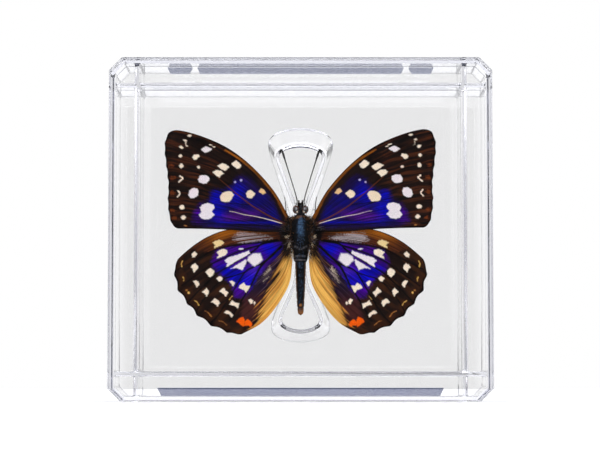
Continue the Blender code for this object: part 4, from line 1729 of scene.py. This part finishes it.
def tube_mesh(
    name: str,
    points: Sequence[Place],
    radius: float,
    taper: Sequence[float],
    side: Side,
    steps: int = 40,
    rings: int = 0,
) -> Mesh:
    """A smooth tube through points.

    Args:
        name: The mesh's name.
        points: Its middle line on the right side, in millimetres.
        radius: Its radius in millimetres.
        taper: Shares of the radius along the way.
        side: The side it is on.
        steps: How many rings of points it has.
        rings: How many faint ridges it has, as the joints of an antenna.

    Returns:
        The mesh, in metres.
    """
    shares = np.linspace(0.0, 1.0, steps)
    line = along_curve(points, shares) * (side.value, 1.0, 1.0)
    way = np.gradient(line, axis=0)
    way /= np.linalg.norm(way, axis=1)[:, None]
    across = np.cross(way, (0.0, 1.0, 0.0))
    across /= np.linalg.norm(across, axis=1)[:, None]
    beside = np.cross(way, across)
    thick = radius * np.interp(shares, np.linspace(0.0, 1.0, len(taper)), taper)
    if rings:
        thick = thick * (1.0 - 0.16 * ease(0.35, 0.0, np.abs((shares * rings) % 1.0 - 0.5)))
    sides = 12
    form = bmesh.new()
    loops = []
    for i in range(steps):
        loop = []
        for j in range(sides):
            angle = 2 * math.pi * j / sides
            out = across[i] * math.cos(angle) + beside[i] * math.sin(angle)
            loop.append(form.verts.new((line[i] + out * thick[i]) * MM))
        loops.append(loop)
    for loop, following in zip(loops, loops[1:]):
        for j in range(sides):
            k = (j + 1) % sides
            form.faces.new((loop[j], loop[k], following[k], following[j])).smooth = True
    form.faces.new(loops[0])
    form.faces.new(loops[-1])
    bmesh.ops.recalc_face_normals(form, faces=form.faces)
    return mesh_from(form, name)


@dataclass
class InsectBody:
    """Head, thorax, ringed abdomen, eyes, palps, legs and hairs."""

    sections: tuple[Place, ...] = (
        (48.9, 2.00, 1.80),
        (49.7, 2.40, 2.00),
        (51.0, 2.60, 2.15),
        (51.9, 2.65, 2.10),
        (54.6, 3.35, 2.35),
        (57.4, 3.90, 2.48),
        (60.2, 4.00, 2.48),
        (62.4, 3.90, 2.40),
        (64.2, 3.35, 2.15),
        (65.2, 2.20, 1.80),
        (66.0, 1.40, 1.60),
        (68.3, 1.15, 1.60),
        (69.3, 1.00, 1.30),
        (69.8, 0.60, 0.70),
    )
    abdomen_top: float = 48.9
    abdomen_tip: float = 30.3
    abdomen_rings: int = 7
    abdomen_radii: Point = (1.95, 0.70)
    abdomen_flatness: float = 0.92
    groove: float = 0.16
    sides: int = 44
    eye_place: Place = (1.62, -0.75, 67.4)
    eye_size: Place = (1.20, 1.30, 1.50)
    tufts: tuple[Tuft, ...] = TUFTS
    seed: int = 41

    def build(self) -> None:
        """Make every piece of the body."""
        skin = Painted("thorax_skin", 0.25, bump_height=0.06, roughness=0.5, specular=0.06)
        facets = Painted("eye_facets", 0.08, bump_height=0.03, roughness=0.25, specular=0.6)
        hair = Painted("hair", 0.3, bump_height=0.01, roughness=0.6, specular=0.04)
        shell = skin.make()
        self._torso(shell)
        self._abdomen(shell)
        self._eyes(facets.make())
        self._limbs(shell)
        self._hairs(hair.make())

    def _loft(self, name: str, rows: Array, tones: Array, material: Material) -> None:
        """A closed skin through rings of points that lie one above the other.

        Args:
            name: The piece's name.
            rows: Rings of points in millimetres.
            tones: A linear colour for each point.
            material: Its finish.
        """
        count, sides, _ = rows.shape
        faces = []
        for i in range(count - 1):
            for j in range(sides):
                k = (j + 1) % sides
                faces.append((i * sides + j, i * sides + k, (i + 1) * sides + k, (i + 1) * sides + j))
        faces.append(tuple(range(sides - 1, -1, -1)))
        faces.append(tuple((count - 1) * sides + j for j in range(sides)))
        mesh = painted_mesh(name, rows.reshape(-1, 3), faces, tones.reshape(-1, 3))
        add_piece(name, mesh, material, ["body"])

    def _rings(self, heights: Array, widths: Array, depths: Array) -> tuple[Array, Array]:
        """Rings of points and the angle of each, for a loft.

        Args:
            heights: The height of each ring.
            widths: Half its width.
            depths: Half its depth.

        Returns:
            The points ring by ring, and their angles.
        """
        angle = np.linspace(0.0, 2 * math.pi, self.sides, endpoint=False)
        angles = np.broadcast_to(angle, (len(heights), self.sides))
        x, y = widths[:, None] * np.cos(angles), depths[:, None] * np.sin(angles)
        z = np.broadcast_to(heights[:, None], x.shape)
        return np.stack((x, y, z), -1), angles

    def _torso(self, material: Material) -> None:
        """Thorax and head in one skin.

        Args:
            material: Its finish.
        """
        profile = along_curve(self.sections, np.linspace(0.0, 1.0, 110))
        heights, widths, depths = profile.T
        rows, angles = self._rings(heights, np.maximum(widths, 0.3), np.maximum(depths, 0.3))
        x, z = rows[..., 0], rows[..., 2]
        grain = Grain(self.seed)
        fuzz = grain.at(x * 2.5 + 30, z * 1.2 + 9)
        tones = np.broadcast_to(linear(Tone.SLATE), rows.shape).copy()
        gloss = grain.at(x * 4.5 + 80, z * 4.0 + 60)
        # Painted highlight: a steel-blue stripe down the middle of the thorax, speckled by the gloss
        # grain.
        broad = np.interp(z, (51.5, 55.0, 59.5, 62.5, 64.0, 65.0), (1.0, 1.5, 1.9, 1.3, 0.8, 0.7))
        highlight_stripe = ease(1.0, 0.1, np.abs(x) / broad) * ease(55.5, 61.0, z) * ease(65.6, 64.6, z)
        tones = wash(tones, Tone.STEEL, highlight_stripe * (0.15 + 0.85 * ease(0.3, 0.7, gloss)))
        face = ease(65.4, 66.4, z) * ease(0.35, 0.75, gloss)
        tones = wash(tones, Tone.ASH, face * 0.3)
        collar = ease(0.7, 0.3, np.abs(z - 64.7)) * ease(0.35, 0.65, fuzz)
        tones = wash(tones, Tone.HAIR_BROWN, collar * 0.8)
        flank = ease(0.72, 0.96, np.abs(np.cos(angles))) * ease(66.0, 64.0, z)
        tones = wash(tones, Tone.HAIR_BROWN, flank * ease(0.5, 0.8, fuzz) * 0.6)
        shield = ease(0.5, 0.2, np.abs(z - 53.3 - 0.5 * np.abs(x))) * ease(2.6, 2.0, np.abs(x))
        tones = wash(tones, Tone.ASH, shield * (0.1 + 0.5 * gloss))
        plates = ease(0.45, 0.25, np.abs(z - 50.9)) + ease(0.4, 0.2, np.abs(z - 49.6))
        tones = wash(tones, Tone.ASH, plates * ease(2.4, 1.6, np.abs(x)) * (0.15 + 0.6 * gloss))
        seams = ease(0.22, 0.05, np.abs(z - 50.25)) + ease(0.25, 0.05, np.abs(z - 51.9 - 0.15 * x**2))
        tones = wash(tones, Tone.SOOT, seams * 0.9)
        bulge = 0.08 * (fuzz - 0.5)
        rows[..., 0] += np.cos(angles) * bulge
        rows[..., 1] += np.sin(angles) * bulge
        self._loft("thorax_and_head", rows, tones, material)

    def _abdomen(self, material: Material) -> None:
        """Seven rings that taper to the tip.

        Args:
            material: Its finish.
        """
        shares = np.linspace(0.0, 1.0, 150)
        tip, top = self.abdomen_radii[1], self.abdomen_radii[0]
        radii = tip + (top - tip) * np.sqrt(shares)
        radii *= 1.0 - 0.65 * ease(0.035, 0.0, shares)
        phase = (shares * self.abdomen_rings) % 1.0
        ring = np.minimum(phase, 1.0 - phase) * 2
        radii -= self.groove * ease(0.32, 0.0, ring) * ease(0.0, 0.1, shares)
        heights = self.abdomen_tip + (self.abdomen_top - self.abdomen_tip) * shares
        rows, angles = self._rings(heights, radii, radii * self.abdomen_flatness)
        x, z = rows[..., 0], rows[..., 2]
        fuzz = Grain(self.seed + 1).at(x * 4 + 50, z * 1.6)
        tones = np.broadcast_to(linear(Tone.SLATE), rows.shape).copy()
        tones = wash(tones, Tone.STEEL, ease(0.5, 0.9, fuzz) * ease(1.4, 0.4, np.abs(x)) * 0.3)
        edge = ease(0.6, 0.98, np.abs(np.cos(angles)))
        tones = wash(tones, Tone.HAIR_BROWN, edge * 0.75)
        tones = wash(tones, Tone.TAN, ease(33.2, 31.0, z) * 0.6)
        tones = wash(tones, Tone.TAN, ease(0.7, 0.3, np.hypot(x, z - 33.8)) * 0.7)
        seam = np.broadcast_to((ease(0.16, 0.0, ring) * 0.7)[:, None], x.shape)
        tones = wash(tones, Tone.SOOT, seam)
        self._loft("abdomen", rows, tones, material)

    def _eyes(self, material: Material) -> None:
        """Two round eyes with paler rims.

        Args:
            material: Its finish.
        """
        form = bmesh.new()
        for side in Side:
            ball = bmesh.ops.create_uvsphere(form, u_segments=40, v_segments=26, radius=1.0)
            for vert in ball["verts"]:
                vert.co = Vector(
                    (
                        (vert.co.x * self.eye_size[0] + self.eye_place[0] * side.value),
                        vert.co.y * self.eye_size[1] + self.eye_place[1],
                        vert.co.z * self.eye_size[2] + self.eye_place[2],
                    )
                ) * MM
        for face in form.faces:
            face.smooth = True
        mesh = mesh_from(form, "eyes")
        places = np.array([vert.co for vert in mesh.vertices]) / MM
        out = (np.abs(places[:, 0]) - self.eye_place[0]) / self.eye_size[0]
        up = (places[:, 2] - self.eye_place[2]) / self.eye_size[2]
        tones = np.broadcast_to(linear(Tone.EYE), places.shape).copy()
        rim = np.hypot(out, up)
        tones = wash(tones, Tone.BARK, ease(0.70, 0.80, rim) * ease(1.0, 0.93, rim))
        tones = wash(tones, Tone.SOOT, ease(0.66, 0.5, rim))
        tones = wash(tones, Tone.ASH, ease(0.42, 0.15, np.hypot(out + 0.1, (up - 0.2) * 0.8)) * 0.75)
        tones = wash(tones, Tone.CREAM, ease(0.26, 0.14, np.hypot(out + 0.35, up + 0.62)))
        paint_points(mesh, tones)
        add_piece("eyes", mesh, material, ["body"])

    def _limbs(self, material: Material) -> None:
        """Tegulae over the wing bases, palps, and the legs that show beside the thorax.

        Args:
            material: Its finish.
        """
        # Radius, its share at the end, and the middle line
        limbs = {
            "tegula": (1.05, 0.45, ((4.1, -1.2, 57.6), (4.6, -1.5, 60.0), (3.7, -1.5, 62.9))),
            "palp": (0.44, 0.5, ((0.60, -0.90, 68.4), (0.60, -1.10, 69.6), (0.62, -1.20, 70.7))),
            "leg_upper": (
                0.30, 0.35, ((1.8, 1.0, 60.5), (4.9, 1.8, 62.6), (5.1, 1.7, 66.8), (5.6, 1.5, 72.1)),
            ),
            "leg_lower": (0.30, 0.5, ((1.6, 1.0, 56.4), (5.0, 1.9, 54.2), (4.5, 1.8, 48.6))),
        }
        for name, (radius, taper, points) in limbs.items():
            for side in Side:
                mesh = tube_mesh(f"{name}_{side.label}", points, radius, (1.0, taper), side)
                paint_points(mesh, np.broadcast_to(linear(Tone.UMBER), (len(mesh.vertices), 3)))
                add_piece(mesh.name, mesh, material, ["body"])

    def _hairs(self, material: Material) -> None:
        """Hairs over the thorax and long pale tufts at the wing bases.

        Args:
            material: Its finish.
        """
        rng = np.random.default_rng(self.seed)
        pile = HairPile(rng)
        count = 900
        heights = rng.uniform(50.5, 64.4, count)
        angles = rng.uniform(math.pi, 2 * math.pi, count)
        widths = np.interp(heights, [s[0] for s in self.sections], [s[1] for s in self.sections])
        depths = np.interp(heights, [s[0] for s in self.sections], [s[2] for s in self.sections])
        roots = np.stack((widths * np.cos(angles), depths * np.sin(angles), heights), 1) * 0.985
        roots[:, 2] = heights
        lean = np.stack((np.cos(angles) * 0.8, np.sin(angles) * 0.45, np.full(count, -0.9)), 1)
        # Painted highlight: about a third of the hairs along the thorax's middle are steel blue.
        highlight_hairs = (np.abs(roots[:, 0]) < 1.3) & (rng.random(count) < 0.35)
        brown = (np.abs(roots[:, 0]) > 2.2) & (rng.random(count) < 0.35)
        tones = np.where(highlight_hairs[:, None], linear(Tone.STEEL), linear(Tone.HAIR_DARK))
        tones = np.where(brown[:, None], linear(Tone.HAIR_BROWN), tones)
        pile.add(roots, lean, rng.uniform(0.5, 1.1, count), 0.05, tones)
        for side in Side:
            for tuft in self.tufts:
                tuft.grow(pile, rng, side)
        mesh = pile.finish("fur")
        add_piece("fur", mesh, material, ["body"])


@dataclass
class Antenna:
    """A fine jointed antenna with a club."""

    side: Side
    radius: float = 0.24
    points: tuple[Place, ...] = (
        (1.15, -0.5, 70.15),
        (1.70, -0.5, 72.6),
        (2.90, -0.5, 76.6),
        (4.10, -0.5, 80.5),
        (5.25, -0.4, 84.2),
        (6.00, -0.4, 86.6),
        (6.45, -0.4, 88.0),
    )
    taper: tuple[float, ...] = (1.0, 0.8, 0.8, 0.8, 1.0, 1.7, 1.4)

    def build(self, material: Material) -> None:
        """Make the antenna.

        Args:
            material: Its finish.
        """
        name = f"antenna_{self.side.label}"
        mesh = tube_mesh("jointed_" + name, self.points, self.radius, self.taper, self.side, 240, 44)
        paint_points(mesh, np.broadcast_to(linear(Tone.HORN), (len(mesh.vertices), 3)))
        add_piece("jointed_" + name, mesh, material, [name])


# Studio


@dataclass
class Studio:
    """Pale floor, white backdrop, soft lights and a white tent in front, a grey room, the camera."""

    backdrop: float = 1.0
    backdrop_reach: Point = (0.84, 0.965)
    room: Place = (0.62, 0.62, 0.68)
    ceiling: Place = (0.26, 0.29, 0.45)
    panel: Place = (0.22, 0.22, 0.28)
    tent: Place = (0.84, 0.84, 0.86)
    lamps: tuple[Place, ...] = ((-0.60, -0.62, 0.50), (0.60, -0.62, 0.50), (0.0, -0.78, 0.62))
    lamp_reach: Point = (0.86, 0.95)
    lamp_glow: float = 3.2
    backdrop_start: Point = (0.16, 0.3)
    tent_start: Point = (-0.55, -0.8)
    ceiling_start: Point = (0.72, 0.9)
    panel_start: Point = (0.985, 0.995)
    flag_half_width: float = 0.074
    flag_height: float = 0.15
    flag_blur: float = 0.006
    flag_dark: float = 0.97
    floor_radius: float = 6.0
    floor_drop: float = 0.1 * MM
    floor_colour: Place = (0.55, 0.55, 0.55)
    floor_glow: float = 0.38
    camera_distance: float = 800.0 * MM
    camera_height: float = 5.0 * MM
    focal_length: float = 139.4
    sensor: float = 36.0
    aim_offset: Point = (-0.2 * MM, 1.24 * MM)

    def build(self) -> None:
        """Make the floor, the surroundings and the camera."""
        self._surroundings()
        self._floor()
        self._camera()
        scene = bpy.context.scene
        scene.view_settings.view_transform = "Standard"
        scene.cycles.max_bounces = 32
        scene.cycles.transmission_bounces = 24
        scene.cycles.glossy_bounces = 12

    def _surroundings(self) -> None:
        """A white backdrop behind the case, lamps and a tent in front, grey walls and ceiling round it."""
        world = bpy.data.worlds.new("studio")
        bpy.context.scene.world = world
        world.use_nodes = True
        nodes, links = world.node_tree.nodes, world.node_tree.links

        def maths(operation: str, *values: Socket | float) -> Socket:
            """One step of arithmetic between sockets or numbers.

            Args:
                operation: The kind of step.
                values: What it works on.

            Returns:
                The socket of the result.
            """
            node = nodes.new("ShaderNodeMath")
            node.operation = operation
            for socket, value in zip(node.inputs, values):
                if isinstance(value, float):
                    socket.default_value = value
                else:
                    links.new(value, socket)
            return node.outputs[0]

        def rise(value: Socket, low: float, high: float) -> Socket:
            """A smooth step from 0 at low to 1 at high.

            Args:
                value: The socket that the step depends on.
                low: Where the step starts.
                high: Where it ends.

            Returns:
                The socket of the result.
            """
            node = nodes.new("ShaderNodeMapRange")
            node.interpolation_type = "SMOOTHSTEP"
            node.inputs["From Min"].default_value = low
            node.inputs["From Max"].default_value = high
            if low > high:
                node.inputs["From Min"].default_value = high
                node.inputs["From Max"].default_value = low
                node.inputs["To Min"].default_value = 1.0
                node.inputs["To Max"].default_value = 0.0
            links.new(value, node.inputs["Value"])
            return node.outputs["Result"]

        def scaled(colour: Socket, share: Socket) -> Socket:
            """A colour times a share.

            Args:
                colour: The colour's socket.
                share: The share's socket.

            Returns:
                The socket of the result.
            """
            node = nodes.new("ShaderNodeVectorMath")
            node.operation = "SCALE"
            links.new(colour, node.inputs[0])
            links.new(share, node.inputs["Scale"])
            return node.outputs["Vector"]

        way = nodes.new("ShaderNodeTexCoord").outputs["Generated"]
        parts = nodes.new("ShaderNodeSeparateXYZ")
        links.new(way, parts.inputs[0])
        x, y, z = parts.outputs
        near, far = self.backdrop_reach
        radius = maths("SQRT", maths("ADD", maths("MULTIPLY", x, x), maths("MULTIPLY", z, z)))
        white = maths("MULTIPLY", rise(radius, far, near), rise(y, *self.backdrop_start))
        light = maths("MULTIPLY", white, self.backdrop)
        for lamp in self.lamps:
            cosine = nodes.new("ShaderNodeVectorMath")
            cosine.operation = "DOT_PRODUCT"
            cosine.inputs[1].default_value = Vector(lamp).normalized()
            links.new(way, cosine.inputs[0])
            glow = rise(cosine.outputs["Value"], *self.lamp_reach)
            light = maths("ADD", light, maths("MULTIPLY", glow, self.lamp_glow))
        walls = nodes.new("ShaderNodeRGB").outputs[0]
        walls.default_value = (*self.room, 1.0)
        sections = (
            (rise(y, *self.tent_start), self.tent),
            (rise(z, *self.ceiling_start), self.ceiling),
            (rise(maths("ABSOLUTE", x), *self.panel_start), self.panel),
        )
        for cover, colour in sections:
            blend = nodes.new("ShaderNodeMix")
            blend.data_type = "RGBA"
            links.new(cover, blend.inputs["Factor"])
            links.new(walls, blend.inputs[6])
            blend.inputs[7].default_value = (*colour, 1.0)
            walls = blend.outputs[2]
        total = nodes.new("ShaderNodeVectorMath")
        total.operation = "ADD"
        links.new(scaled(walls, maths("SUBTRACT", 1.0, white)), total.inputs[0])
        links.new(light, total.inputs[1])

        ahead = maths("MAXIMUM", maths("MULTIPLY", y, -1.0), 0.001)
        width, height = self.flag_half_width, self.flag_height
        beside = rise(maths("DIVIDE", maths("ABSOLUTE", x), ahead), width + self.flag_blur, width)
        above = rise(maths("DIVIDE", z, ahead), height + self.flag_blur, height)
        bounced = maths("GREATER_THAN", nodes.new("ShaderNodeLightPath").outputs["Glossy Depth"], 0.5)
        flag = maths("MULTIPLY", maths("MULTIPLY", beside, above), bounced)
        left = maths("SUBTRACT", 1.0, maths("MULTIPLY", flag, self.flag_dark))
        kept = scaled(total.outputs["Vector"], left)
        links.new(kept, nodes["Background"].inputs["Color"])

    def _floor(self) -> None:
        """A pale round floor just below the case."""
        form = bmesh.new()
        bmesh.ops.create_circle(form, cap_ends=True, segments=96, radius=self.floor_radius)
        mesh = mesh_from(form, "floor")
        mesh.materials.append(Matt("floor", self.floor_colour, self.floor_glow).make())
        floor = bpy.data.objects.new("floor", mesh)
        bpy.context.scene.collection.objects.link(floor)
        floor.location.z = -self.floor_drop

    def _camera(self) -> None:
        """The camera, low in front of the case and tilted up a little."""
        data = bpy.data.cameras.new("camera")
        data.lens = self.focal_length
        data.sensor_width = self.sensor
        data.clip_start = 0.01
        data.clip_end = 100.0
        camera = bpy.data.objects.new("camera", data)
        bpy.context.scene.collection.objects.link(camera)
        front = -DisplayCase.depth / 2
        camera.location = (0.0, front - self.camera_distance, self.camera_height)
        middle = DisplayCase.height / 2
        target = Vector((self.aim_offset[0], front, middle + self.aim_offset[1]))
        camera.rotation_mode = "QUATERNION"
        camera.rotation_quaternion = (target - camera.location).to_track_quat("-Z", "Y")
        bpy.context.scene.camera = camera


def main() -> None:
    """Build every piece in order."""
    logging.basicConfig(level=logging.INFO, format="%(message)s")
    Studio().build()
    DisplayCase().build()
    scales = Painted("scales", specular=0.03, grain_depth=0.3).make()
    horn = Painted("horn", grain_size=0.2, roughness=0.4).make()
    for side in Side:
        turn = RIGHT_FOREWING_TURN if side is Side.RIGHT else 0.0
        Forewing(side, turn=turn).build(scales)
        Hindwing(side).build(scales)
        Antenna(side).build(horn)
    InsectBody().build()


if __name__ == "__main__":
    main()
